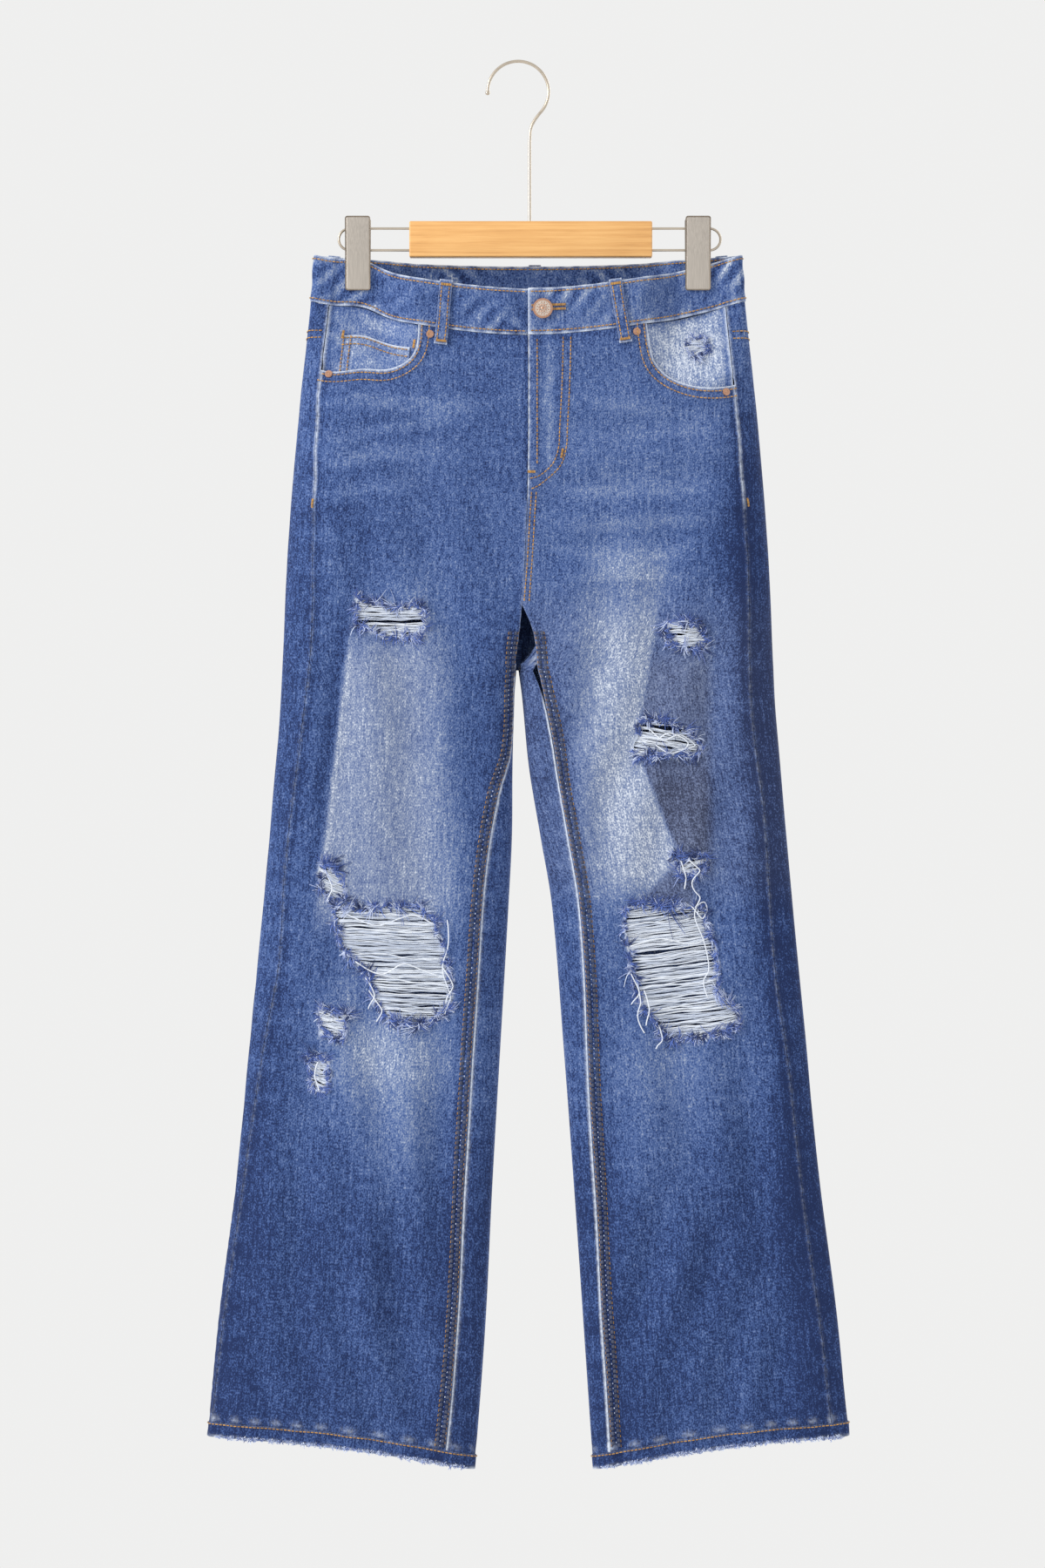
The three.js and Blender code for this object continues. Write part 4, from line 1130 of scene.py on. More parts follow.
v, points, wash_and_painted_shade = band_strip()
down_band = BAND_HEIGHT * v[:, None]
run = np.concatenate([[0], np.cumsum(np.linalg.norm(np.diff(points[0], axis=0), axis=1))])
tension = uneven(run, 2.6, 2, 29)
sway = 2.2 * np.sin(run / 41)[None, :]
pucker = 0.35 * tension + 0.3 * np.sin(run / 7.1)
edges = bell(v - 0.08, 0.09) + bell(v - 0.92, 0.09)
out = np.cross(np.gradient(points, axis=1), -np.gradient(points, axis=0))
out /= np.linalg.norm(out, axis=2, keepdims=True)
loose = 1 - bell(np.abs(points[..., 0] - CENTRE_X) - CLIP_OFFSET, 20)
points = points + out * (pucker[None, :] * edges[:, None] * loose)[..., None]
creased = np.sin((run[None, :] + 1.3 * down_band) / 6.3 + sway)
points = points + out * (0.55 * creased * np.sin(np.pi * v)[:, None] * loose)[..., None]
band = make_object("waistband_cloth", points.reshape(-1, 3),
                   grid_quads(*wash_and_painted_shade.shape).reshape(-1, 4).tolist(), denim)
set_weave(band, np.broadcast_to(run, wash_and_painted_shade.shape), np.broadcast_to(-down_band, wash_and_painted_shade.shape))
rubbed = 0.95 * bell(v, 0.04) + 0.85 * bell(1 - v, 0.045)
rubbed = rubbed[:, None] * (0.8 + 0.2 * tension)[None, :]
slant = np.sin((run[None, :] + 0.9 * down_band) / 3.1 + sway)
slant = np.clip(slant, -0.5, 1) * np.clip(np.sin((run[None, :] - 1.6 * down_band) / 21.0), -0.2, 1)
slant = slant * (0.6 + 0.4 * np.sin(run / 23 + np.sin(run / 61))[None, :])
wash_and_painted_shade = wash_and_painted_shade + 0.22 * edges[:, None] * (0.4 + pucker[None, :]) + 0.46 * slant - 0.04
paint(band, wash_and_painted_shade, np.clip(rubbed + 0.8 * bell(run, 2.2)[None, :], 0, 1), np.zeros(wash_and_painted_shade.shape))
apply_modifier(band, "SOLIDIFY", thickness=2.4 * MM, offset=0.0)
bevel_edges(band, 0.8, segments=3)
smooth(band)
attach(band, "root")
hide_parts("waistband")
band_length = float(run[-1]) * MM
cuts["waistband_cloth"] = ([band_length, BAND_HEIGHT * MM], band_length * BAND_HEIGHT * MM)
print("waistband runs", round(run[-1]), "mm")

# %% Belt loops
def loop_in_front(side, top_x, bottom_x):
    """The length to a front loop at each level, between its x at the top and at the foot."""
    def length(level):
        x = mix(top_x, bottom_x, (WAIST_TOP - level) / 55)
        inner, outer = inner_edge(side, level), outer_edge(side, level)
        return front_length(side, level, (x - inner) / (outer - inner))
    return length


def loop_behind(side):
    return lambda level: front_length(side, level, np.ones(np.shape(level))) + 18


LOOPS = [(LEFT, loop_in_front(LEFT, 83.4, 92)), (RIGHT, loop_in_front(RIGHT, -61.5, -66)),
         (LEFT, loop_behind(LEFT)), (RIGHT, loop_behind(RIGHT)),
         (LEFT, lambda level: girth(LEFT, level) - 6)]
for number, (side, length_at) in enumerate(LOOPS, 1):
    u, v = shares_grid(8, 44)
    ridge = np.where(np.abs(u - 0.5) < 0.32, 0.35, 0) + 0.15 * np.sin(v * 60)
    sewn_down = 0.65 * (bell(v - 0.06, 0.05) + bell(v - 0.95, 0.05))
    wear = 0.6 * along_edges(u, v, (0.0, 1.0), 0.03) + 0.42 * (np.abs(u - 0.5) > 0.42)
    patch(f"belt_loop_cloth_{number}", side, u, v,
          lambda u, v: mix(WAIST_TOP + 1.5, WAIST_BOTTOM - 14, v),
          lambda u, level: length_at(level) + mix(-5.5, 5.5, u),
          f"belt_loop_{number}", lift=3.0 + ridge - sewn_down, thickness=1.5,
          finish_edge=0.45, wear=np.clip(wear, 0, 1), tone=0.40 + 0.08 * np.sin(v * 17))

# %% [markdown]
# ## Thread, in tubes and stitches
# Loose threads are thin bent tubes, and a stitch is a tiny grain laid on the cloth. Thousands
# are needed, so each has only a few faces. Both are made in one go from lines of points, which
# is far quicker than placing a curve object for each.

# %% Tubes along many lines at once
def tube_mesh(paths, radii, sides=4):
    """Points and faces of a round tube along each of many equally long lines."""
    count, steps, _ = paths.shape
    ahead = np.gradient(paths, axis=1)
    ahead /= np.maximum(np.linalg.norm(ahead, axis=2, keepdims=True), 1e-9)
    across = np.cross(ahead, (0.06, -1.0, 0.03))
    across /= np.maximum(np.linalg.norm(across, axis=2, keepdims=True), 1e-9)
    out = np.cross(across, ahead)
    turn = 2 * np.pi * np.arange(sides) / sides
    ring = (across[:, :, None] * np.cos(turn)[:, None] + out[:, :, None] * np.sin(turn)[:, None])
    points = paths[:, :, None] + ring * radii[:, :, None, None]
    index = np.arange(count * steps * sides).reshape(count, steps, sides)
    beside = np.roll(index, -1, axis=2)
    walls = np.stack([index[:, :-1], index[:, 1:], beside[:, 1:], beside[:, :-1]], -1)
    caps = np.concatenate([index[:, 0], index[:, -1, ::-1]])
    return points.reshape(-1, 3), walls.reshape(-1, 4).tolist() + caps.tolist()


def threads(name, bundles, material, sides=4, stands_for=()):
    """One object of many tubes: each bundle is ((lines, radii), tones)."""
    points, faces, tones = [], [], []
    start = 0
    for (paths, radii), tone in bundles:
        made_points, made_faces = tube_mesh(paths, radii, sides)
        points.append(made_points)
        faces += [[i + start for i in face] for face in made_faces]
        start += len(made_points)
        tones.append(np.repeat(tone, paths.shape[1] * sides))
    made = make_object(name, np.concatenate(points), faces, material)
    set_attribute(made, "tone", np.concatenate(tones))
    smooth(made, 80)
    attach(made, "root")
    if stands_for:
        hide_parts(*stands_for)
    print(f"{name}: {len(faces)} faces")


def through(control, steps):
    """(points of a smooth curve through x, z points, how far along the points each one is)."""
    control = np.array(control, float)
    t = np.linspace(0, len(control) - 1, steps)
    k = np.clip(t.astype(int), 0, len(control) - 2)
    f = (t - k)[:, None]
    p0, p1 = control[np.maximum(k - 1, 0)], control[k]
    p2, p3 = control[k + 1], control[np.minimum(k + 2, len(control) - 1)]
    curve = 0.5 * (2 * p1 + (p2 - p0) * f + (2 * p0 - 5 * p1 + 4 * p2 - p3) * f ** 2
                   + (3 * p1 - p0 - 3 * p2 + p3) * f ** 3)
    return curve, t


# %% [markdown]
# ## The white threads in a rip
# When the blue warp is worn away, the white weft is left, strung across the hole in loose
# bundles. Each thread runs from edge to edge at its own height, sags a little, and is tucked
# under the cloth at both ends. Some rows are left out, which gives the dark slits.

# %% Weft across a rip
TUCKED_IN = 3           # a thread's ends are this far under the cloth
SLIT_SHARE = 0.85       # of the threads in a slit are missing


def strung_across(outline, rows_apart, tilt, slits, layers):
    """(start x, end x, height, layer) of each thread that a rip keeps."""
    middle = outline[:, 0].mean()
    heights = np.arange(outline[:, 1].min() - 4, outline[:, 1].max() + 4, rows_apart)
    heights = heights + chance.normal(0, 0.25 * rows_apart, len(heights))
    across = np.arange(outline[:, 0].min() - 1, outline[:, 0].max() + 1, 1.0)
    ends = []
    for height in heights:
        inside = within(outline, across, height + (across - middle) * tilt)
        changes = np.flatnonzero(np.diff(np.concatenate([[0], inside.astype(int), [0]])))
        for first, last in zip(changes[::2], changes[1::2]):
            if last - first < 3:
                continue
            centre = across[(first + last) // 2]
            in_slit = any(abs(height - at) < wide and start < centre < stop
                          for at, wide, start, stop in slits)
            if in_slit and chance.random() < SLIT_SHARE:
                continue
            ends += [(across[first] - TUCKED_IN, across[last - 1] + TUCKED_IN, height, layer)
                     for layer in range(layers)]
    return np.array(ends)


def weft_lines(side, outline, rows_apart, slope, slits, sag=1.1, lift=0.2, steps=20, layers=2):
    tilt = math.tan(math.radians(slope))
    ends = strung_across(outline, rows_apart, tilt, slits, layers)
    count = len(ends)
    height, layer = ends[:, 2:3], ends[:, 3:]
    t = np.linspace(0, 1, steps)[None, :]
    x = mix(ends[:, :1], ends[:, 1:2], t)
    spread = np.sin(np.pi * t)
    wander = chance.normal(0, 0.55, (count, 1)) * spread
    wander = wander + chance.normal(0, 0.9, (count, 1)) * np.sin(2 * np.pi * t) * spread
    wander = wander + 0.35 * np.sin(x / chance.uniform(2.5, 7, (count, 1)) + 9 * height)
    drop = sag * chance.random((count, 1)) * spread
    z = height + (x - outline[:, 0].mean()) * tilt + wander - drop
    depth = np.where(spread > 0.25, lift + 0.8 * (layer - 1), -1.0)
    depth = mix(-1.1, depth, np.minimum(1, spread * 3)) + 0.3 * np.sin(x / 3.1 + height)
    points, _ = front_cloth(side, x, z, depth)
    radii = np.broadcast_to(chance.uniform(0.32, 0.58, (count, 1)), x.shape)
    shade = chance.uniform(0.35, 1.0, count) - 0.22 * (ends[:, 3] == 0)
    return (points, radii), np.clip(shade, 0, 1)


# %% Loose curling threads
def loose_line(side, control, lift=2.6, steps=46):
    """One thread through x, z points, smoothed, a little above the cloth."""
    flat, t = through(control, steps)
    flat = flat + np.stack([np.sin(t * 2.9 + control[0][0]), np.cos(t * 3.7)], -1)
    height = lift + 0.8 * np.sin(t * 1.7)
    height[0] = height[-1] = -0.5
    points, _ = front_cloth(side, flat[:, 0], flat[:, 1], height)
    return (points[None], np.full((1, steps), 0.5)), chance.uniform(0.85, 1.0, 1)


# %% Frayed ends round an outline
# The darkest tuft tone is painted shade between the tufts as well as dark blue fibre; the others
# are blue and white fibre.
TUFT_TONES, TUFT_ODDS = (0.12, 0.42, 0.55, 0.8), (0.24, 0.38, 0.22, 0.16)


def fray(side, outline, apart=1.35, fibres=9, reach=(4.0, 8.5), white=0.16, outwards=0.62,
         base=0.0):
    """Curling tufts rooted on the edge of a hole, thickest along its top and foot."""
    a, b = outline, np.roll(outline, -1, axis=0)
    way = b - a
    size = np.hypot(*way.T)
    flatness = 0.4 + 0.6 * np.abs(way[:, 0]) / np.maximum(size, 1e-6)
    tufts = np.repeat(np.arange(len(a)), chance.poisson(size * flatness / apart))
    area = np.sum(a[:, 0] * b[:, 1] - b[:, 0] * a[:, 1])
    outward = np.stack([way[:, 1], -way[:, 0]], -1) * np.sign(area)
    outward = (outward / np.maximum(size, 1e-6)[:, None])[tufts]
    count = len(tufts)
    root = a[tufts] + way[tufts] * chance.random((count, 1))
    way_out = np.where(chance.random((count, 1)) < outwards, 1.0, -0.75)
    heading = outward * way_out + chance.normal(0, 0.5, (count, 2))
    length = chance.uniform(*reach, (count, 1)) * flatness[tufts][:, None]
    curl = chance.normal(0, 0.8, (count, 1))
    rise = chance.uniform(1.2, 4.0, (count, 1))
    shade = chance.choice(TUFT_TONES, count, p=TUFT_ODDS)
    root, heading, length, curl, rise = (np.repeat(v, fibres, axis=0)
                                         for v in (root, heading, length, curl, rise))
    count = len(root)
    root = root + chance.normal(0, 0.75, (count, 2))
    heading = heading + chance.normal(0, 0.32, (count, 2))
    heading /= np.linalg.norm(heading, axis=1, keepdims=True)
    curl = curl + chance.normal(0, 0.35, (count, 1))
    bend = np.stack([-heading[:, 1], heading[:, 0]], -1) * curl
    length = length * chance.uniform(0.5, 1.1, (count, 1))
    t = np.linspace(0, 1, 5)[None, :, None]
    flat = (root - heading)[:, None] + (length * heading)[:, None] * t
    flat = flat + (length * bend)[:, None] * t ** 2
    lift = rise * chance.uniform(0.4, 1.2, (count, 1)) * np.sin(t[..., 0] * 2.3)
    points, _ = front_cloth(side, flat[..., 0], flat[..., 1], base - 0.3 + lift)
    radii = chance.uniform(0.36, 0.72, (count, 1)) * (1 - 0.6 * t[..., 0])
    pale = chance.random(count) < white
    blue = np.repeat(shade, fibres) + chance.uniform(-0.12, 0.12, count)
    return (points, radii), np.where(pale, chance.uniform(0.6, 1, count), blue.clip(0, 1))


# %% [markdown]
# The right leg's threads lie level and the left leg's climb outwards, because that leg hangs
# turned. The slits are given as heights, half widths and the stretch of the hole they cross.

# %% Fill the rips
SNAG = ragged([(146, -244), (153, -239), (162, -241), (166, -249), (157, -257), (148, -254)])
WEFT = {     # distance between rows, slope in degrees, slits
    (RIGHT, "knee"): (1.25, -2, [(-797, 1.0, -110, -80), (-807, 1.5, -118, -74),
                                 (-818, 1.2, -114, -70), (-771, 0.7, -160, -60)]),
    (RIGHT, "thigh"): (1.25, 1, [(-486, 0.6, -150, -80)]),
    (RIGHT, "upper side"): (0.95, -22, []), (RIGHT, "lower side"): (0.95, -12, []),
    (RIGHT, "bottom side"): (0.95, -16, []),
    (LEFT, "knee"): (1.25, 7, [(-737, 1.5, 80, 132), (-770, 1.1, 80, 190), (-782, 1.2, 80, 190),
                               (-823, 1.0, 80, 190), (-797, 0.8, 80, 190)]),
    (LEFT, "thigh"): (1.2, -8, [(-577, 1.6, 90, 170), (-586, 0.8, 90, 130)]),
    (LEFT, "upper"): (1.0, 2, []), (LEFT, "side"): (1.0, 12, [(-692, 1.0, 130, 170)]),
}
LOOSE = {
    RIGHT: [[(-62, -745), (-60, -768), (-65, -790), (-58, -812), (-63, -826)],
            [(-64, -786), (-57, -800), (-61, -816), (-56, -824)],
            [(-150, -740), (-120, -748), (-90, -741), (-72, -748)],
            [(-140, -781), (-118, -790), (-96, -783), (-70, -792)],
            [(-128, -806), (-118, -820), (-122, -833)], [(-132, -795), (-124, -809), (-129, -822)],
            [(-168, -702), (-160, -716), (-166, -728)], [(-172, -868), (-176, -880), (-172, -893)]],
    LEFT: [[(150, -733), (158, -742), (164, -737), (160, -729), (153, -738), (159, -762),
            (166, -786), (160, -800), (165, -812)],
           [(102, -800), (107, -815), (103, -830), (110, -842)],
           [(108, -806), (114, -822), (110, -836)], [(99, -792), (104, -806), (99, -818)],
           [(113, -580), (126, -588), (142, -585), (152, -594), (134, -599), (118, -594)],
           [(120, -590), (130, -582), (146, -591), (138, -597)],
           [(148, -693), (156, -700), (150, -712), (157, -724), (152, -733)],
           [(140, -694), (146, -706), (143, -718)], [(120, -836), (124, -848), (119, -856)],
           [(96, -768), (120, -760), (146, -765), (168, -757)]],
}
for side, word in SIDE_WORDS.items():
    bundles = [weft_lines(side, outline, *WEFT[side, place])
               for place, outline in rips[side].items()]
    bundles += [loose_line(side, control) for control in LOOSE[side]]
    if side == LEFT:
        bundles += [weft_lines(side, SNAG, 0.95, 6, [], sag=0.5, lift=-1.7)]
    threads(f"weft_threads_{word}", bundles, weft,
            stands_for=(f"thigh_threads_{word}", f"knee_threads_{word}"))
    edges = [fray(side, outline) for outline in rips[side].values()]
    if side == LEFT:
        edges += [fray(side, SNAG, 1.6, 8, (2.5, 6), white=0.3, base=-2.0)]
        edges += [loose_line(side, [(150, -246), (158, -243), (166, -240), (172, -235)], lift=-0.6)]
    length = np.linspace(12, front_length(side, HEM_BOTTOM, np.array(1.0)) - 12, 90)
    hem_edge = cloth(side, HEM_BOTTOM + 0.3, length)[0][:, [0, 2]]
    hem_band = np.vstack([hem_edge, hem_edge[::-1] + (0, 1.0)])
    threads(f"frayed_edges_{word}", edges, frayed, sides=3)
    fringe = fray(side, hem_band, 2.4, 5, (0.9, 2.2), white=0.9, outwards=1.0, base=1.3)
    threads(f"hem_fringe_{word}", [fringe], frayed, sides=3)

# %% [markdown]
# ## What each piece was cut to
# A pattern cutter thinks in flat pieces. Each piece's flat size is measured along the cloth, so
# it is the size before it was sewn and hung. The clips hold the waistband, and it holds the rest.

for name, (flat, area) in cuts.items():
    print(f"{name} was cut {flat[0]:.3f} by {flat[1]:.3f} m, {area:.4f} square metres")

# %% [markdown]
# ## Topstitching
# Jeans are held together by stitches that are meant to be seen: gold on the waistband, pockets
# and hems, and navy down the inseams. Each line is laid along the cloth as levels and lengths,
# measured in real millimetres, and filled with one small grain for each stitch.

# %% Stitches along a line
SHOULDER, FULLNESS = 0.72, 0.85     # a grain's two rings, and how thick it is there
GRAIN_SIDES = 5
GRAIN_POINTS = 2 * GRAIN_SIDES + 2
FIRST_RING = [(1 + k, 1 + (k + 1) % GRAIN_SIDES) for k in range(GRAIN_SIDES)]
GRAIN_FACES = [[0, b, a] for a, b in FIRST_RING]
GRAIN_FACES += [[a, b, b + GRAIN_SIDES, a + GRAIN_SIDES] for a, b in FIRST_RING]
GRAIN_FACES += [[GRAIN_POINTS - 1, a + GRAIN_SIDES, b + GRAIN_SIDES] for a, b in FIRST_RING]


def grains(points, out, pitch=3.4, size=2.9, radius=0.50):
    """Stitches along one line of points, with the direction away from the cloth at each."""
    gaps = np.linalg.norm(np.diff(points, axis=0), axis=1)
    run = np.concatenate([[0], np.cumsum(gaps)])
    at = np.arange(pitch / 2, run[-1], pitch)
    if len(at) == 0:
        return np.zeros((0, 3)), []

    def sample(values, places):
        return np.stack([np.interp(places, run, values[:, i]) for i in range(3)], -1)

    ahead = sample(points, at + 0.8) - sample(points, at - 0.8)
    ahead /= np.maximum(np.linalg.norm(ahead, axis=1, keepdims=True), 1e-9)
    across = np.cross(ahead, sample(out, at))
    across /= np.maximum(np.linalg.norm(across, axis=1, keepdims=True), 1e-9)
    up = np.cross(across, ahead)
    centre = sample(points, at)
    half = ahead * size / 2
    thick = FULLNESS * radius
    verts = [centre - half]
    for ring in (-SHOULDER, SHOULDER):
        for angle in 2 * np.pi * np.arange(GRAIN_SIDES) / GRAIN_SIDES:
            verts.append(centre + half * ring + across * (thick * 1.2 * math.cos(angle))
                         + up * (thick * math.sin(angle)))
    verts.append(centre + half)
    faces = [[GRAIN_POINTS * n + i for i in face] for n in range(len(at)) for face in GRAIN_FACES]
    return np.stack(verts, 1).reshape(-1, 3), faces


def stitch_object(name, lines, material, **grain):
    """One object from many lines of (points, outward directions)."""
    points, faces, start = [], [], 0
    for line_points, out in lines:
        made_points, made_faces = grains(line_points, out, **grain)
        points.append(made_points)
        faces += [[i + start for i in face] for face in made_faces]
        start += len(made_points)
    count = start // GRAIN_POINTS
    made = make_object(name, np.concatenate(points), faces, material)
    set_attribute(made, "tone", np.repeat(chance.uniform(0.3, 1.0, count), GRAIN_POINTS))
    smooth(made, 80)
    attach(made, "root")
    print(f"{name}: {count} stitches")


def front_line(side, control, lift=0.9, steps=80):
    """A smooth line on the front through x, z points."""
    flat, _ = through(control, steps)
    return front_cloth(side, flat[:, 0], flat[:, 1], lift)


def beside(points, out, distance):
    """The same line moved sideways in the cloth."""
    ahead = np.gradient(points, axis=0)
    ahead /= np.maximum(np.linalg.norm(ahead, axis=1, keepdims=True), 1e-9)
    return points + np.cross(ahead, out) * distance


# %% Round a back pocket
def on_pocket(side, u, v):
    level = back_pocket_level(u, v)
    return cloth(side, level, back_pocket_length(side, u, level), 3.0)


foot, down = np.linspace(0, 1, 60), np.linspace(0.01, 1, 60)
BORDER_U = np.concatenate([np.zeros(60), foot, np.ones(60)])
BORDER_V = np.concatenate([down, np.ones(60), down[::-1]])

# %% Where the gold thread runs on both halves
gold_lines = []
for side in SIDE_WORDS:
    whole = np.linspace(2.0, girth(side, WAIST_TOP) - 1, 400)
    gold_lines.append(cloth(side, WAIST_TOP - 3.2, whole, 1.9))
    inside = np.linspace(outseam(side, WAIST_TOP) + 8, girth(side, WAIST_TOP) - 1, 200)
    gold_lines.append(cloth(side, WAIST_TOP - 2.6, inside, -1.75))
    whole = np.linspace(2.0, girth(side, WAIST_BOTTOM) - 1, 400)
    gold_lines.append(cloth(side, WAIST_BOTTOM + 3.2, whole, 1.9))
    edge, out = cloth(side, *mouth_line(side), 1.15)
    gold_lines += [(beside(edge, out, side * distance), out) for distance in (3.2, 9.6)]
    hem_level = PANEL_BOTTOM - 1.6
    whole = np.linspace(0, girth(side, hem_level), 400)
    gold_lines.append(cloth(side, hem_level, whole, 1.85))
    u = np.linspace(0, 1, 200)
    for below in (1.8, 8.0):
        level = yoke_seam(u) - below
        length = mix(outseam(side, level) + 3, girth(side, level) - 1, u)
        gold_lines.append(cloth(side, level, length, 1.1))
    for inset in (2.4, 8.6):
        share = inset / (POCKET_OUTER - POCKET_INNER)
        u = np.clip(BORDER_U, share, 1 - share)
        v = np.clip(BORDER_V, inset / POCKET_HEIGHT, 1 - inset / 138)
        gold_lines.append(on_pocket(side, u, v))
    u = np.linspace(0.01, 0.99, 60)
    gold_lines += [on_pocket(side, u, below) for below in (0.02, 0.09)]

# %% Down the seat, the fly, the coin pocket and the belt loops
level = np.linspace(WAIST_BOTTOM - 2, SADDLE + 12, 160)
gold_lines += [cloth(LEFT, level, girth(LEFT, level) - inset, 1.0) for inset in (2.6, 8.8)]
gold_lines.append(front_line(LEFT, [(16.5, -242), (16.5, -290), (16.5, -352)]))
for dx in (0.0, 6.6):
    gold_lines.append(front_line(LEFT, [(39.0 + dx, -240), (38 + dx, -280), (36 + dx, -318),
                                        (35 + dx, -336), (30 + 0.9 * dx, -350 - 0.4 * dx),
                                        (19, -360 - 1.2 * dx), (9.5, -363 - 1.4 * dx)]))
for x_top, x_low in ((11.5, 5.6), (15.6, 9.6)):
    gold_lines.append(front_line(LEFT, [(x_top, -374), (mix(x_top, x_low, 0.5), -424),
                                        (x_low, -470)]))
u = np.linspace(0.02, 0.98, 40)
for below in (2.2, 8.2):
    level = coin_level(u, 0) - below
    gold_lines.append(cloth(RIGHT, level, coin_length(u, level), -0.5))
for inset in (0.965, 0.87):
    level = coin_level(inset, np.linspace(0, 0.9, 30))
    gold_lines.append(cloth(RIGHT, level, coin_length(inset, level), -0.5))
level = np.linspace(WAIST_TOP - 1, WAIST_BOTTOM - 12, 40)
for side, length_at in LOOPS:
    gold_lines += [cloth(side, level, length_at(level) + off, 4.3) for off in (-3.3, 3.3)]
stitch_object("gold_stitches", gold_lines, gold)

# %% Navy thread down the inseams, and short dense bars where seams end
def down_inseams(name, material, offsets, lift, size, radius):
    level = np.linspace(CROTCH - 22, PANEL_BOTTOM + 3, 500)
    lines = [cloth(side, level, inseam(side, level) + off, lift)
             for side in SIDE_WORDS for off in offsets]
    stitch_object(name, lines, material, pitch=4.3, size=size, radius=radius)


down_inseams("navy_stitches", navy, (2.9, 7.7), 0.9, 3.4, 1.5)
down_inseams("inseam_rungs", frayed, (5.3,), 0.6, 1.5, 0.55)
down_inseams("inseam_gold_stitches", gold, (1.2, 9.4), 0.95, 2.6, 0.27)


def bartack(side, x, z, angle, width):
    """A short bar of closely packed stitches that keeps a seam's end from tearing."""
    turn = math.radians(angle)
    along_it = np.array([math.cos(turn), math.sin(turn)])
    across_it = np.array([-along_it[1], along_it[0]])
    lines = []
    for step in np.arange(-width / 2, width / 2, 0.75):
        middle = np.array([x, z]) + along_it * step
        flat = middle + across_it * np.array([[-1.1], [1.1]])
        lines.append(front_cloth(side, flat[:, 0], flat[:, 1], 1.4))
    return lines


bars = []
for tack in ((RIGHT, -152, -237, 80, 7), (RIGHT, -90, -246, 80, 7), (LEFT, 11, -357, 0, 8),
             (LEFT, 38, -341, 80, 8), (LEFT, 198, -383, 100, 7), (RIGHT, -177, -384, 85, 7)):
    bars += bartack(*tack)
for side, length_at in LOOPS[:2]:
    for level in (WAIST_TOP - 2.5, WAIST_BOTTOM - 11):
        bar_level = np.full(2, level)
        bars += [cloth(side, bar_level + (-1.1, 1.1), length_at(bar_level) + off, 4.5)
                 for off in np.arange(-4.4, 4.5, 0.75)]
for x in np.arange(12, 41, 0.9):     # the two rows of the buttonhole
    for z in (-217.5, -213.9):
        flat_z = np.array([z, z + 2.1]) + 0.04 * (x - 21)
        bars.append(front_cloth(LEFT, np.full(2, x), flat_z, 2.3))
stitch_object("bartacks", bars, gold, pitch=2.0, size=2.4, radius=0.42)

# %% [markdown]
# ## Metal and wood
# The hanger is satin steel wire and plate with one bar of pale, varnished wood. Satin metal has
# a fine grain that blurs its reflections, so its roughness varies a little over the surface.
# Wood grain runs along the bar, so its noise is stretched that way.

# %% Metal
def metal_material(name, colour, roughness, grain_scale=(40, 900, 900)):
    material, tree, shader = new_material(name, roughness, 1.0)
    brushed = noise(tree, object_place(tree), 1.0, 2.0, grain_scale)
    darker = tuple(c * 0.82 for c in colour)
    tree.links.new(ramp(tree, brushed, [(0.3, darker), (0.7, colour)]), shader.inputs["Base Color"])
    uneven = maths(tree, "MULTIPLY_ADD", brushed, 0.16, roughness - 0.08)
    tree.links.new(uneven, shader.inputs["Roughness"])
    bump(tree, shader, brushed, 0.0001, 0.35)
    return material


steel = metal_material("satin steel wire", (0.64, 0.56, 0.46), 0.32)
plate_steel = metal_material("satin clip plate", (0.60, 0.545, 0.485), 0.42, (1400, 1400, 70))
copper = metal_material("aged copper", (0.62, 0.36, 0.25), 0.34, (900, 900, 900))
tack_metal = metal_material("pale enamel", (0.88, 0.82, 0.74), 0.5, (700, 700, 700))


# %% Wood
wood, tree, shader = new_material("oiled pale wood", 0.42)
place = object_place(tree)
rings = noise(tree, place, 1.0, 4.0, (7, 70, 520))
pores = noise(tree, place, 1.0, 2.0, (55, 900, 1500))
figure = noise(tree, place, 1.0, 1.0, (22, 40, 40))
tone = maths(tree, "MULTIPLY_ADD", pores, 0.35, maths(tree, "MULTIPLY", rings, 0.75))
tone = maths(tree, "MULTIPLY_ADD", figure, 0.3, tone)
tree.links.new(ramp(tree, tone, [(0.42, (0.60, 0.295, 0.092)), (0.62, (0.755, 0.395, 0.13)),
                                 (0.85, (0.86, 0.49, 0.18))]), shader.inputs["Base Color"])
shader.inputs["Coat Weight"].default_value = 0.15
shader.inputs["Coat Roughness"].default_value = 0.3
bump(tree, shader, pores, 0.0002, 0.3)

# %% [markdown]
# ## The hanger
# One wire is bent into the hook and its stem, and another into a flat loop whose ends vanish in
# the wooden bar. A wire is a curve with a round section, turned into a mesh at the end. The bar
# and the clip plates start as boxes whose edges are bevelled, since real ones are never sharp.

# %% Wires
def wire_object(name, points, radius, closed=False):
    curve = bpy.data.curves.new(name, "CURVE")
    curve.dimensions = "3D"
    curve.bevel_depth = radius * MM
    curve.bevel_resolution = 5
    curve.use_fill_caps = True
    line = curve.splines.new("POLY")
    line.points.add(len(points) - 1)
    for spot, (x, z) in zip(line.points, points):
        spot.co = (x * MM, 0, z * MM, 1)
    line.use_cyclic_u = closed
    made = bpy.data.objects.new(name, curve)
    bpy.context.scene.collection.objects.link(made)
    only(made)
    bpy.ops.object.convert(target="MESH")
    made = bpy.context.object
    made.data.materials.clear()
    made.data.materials.append(steel)
    smooth(made, 60)
    return made


def arc(x, z, radius, start, stop, count):
    angles = np.radians(np.linspace(start, stop, count))
    return [(x + radius * math.cos(a), z + radius * math.sin(a)) for a in angles]


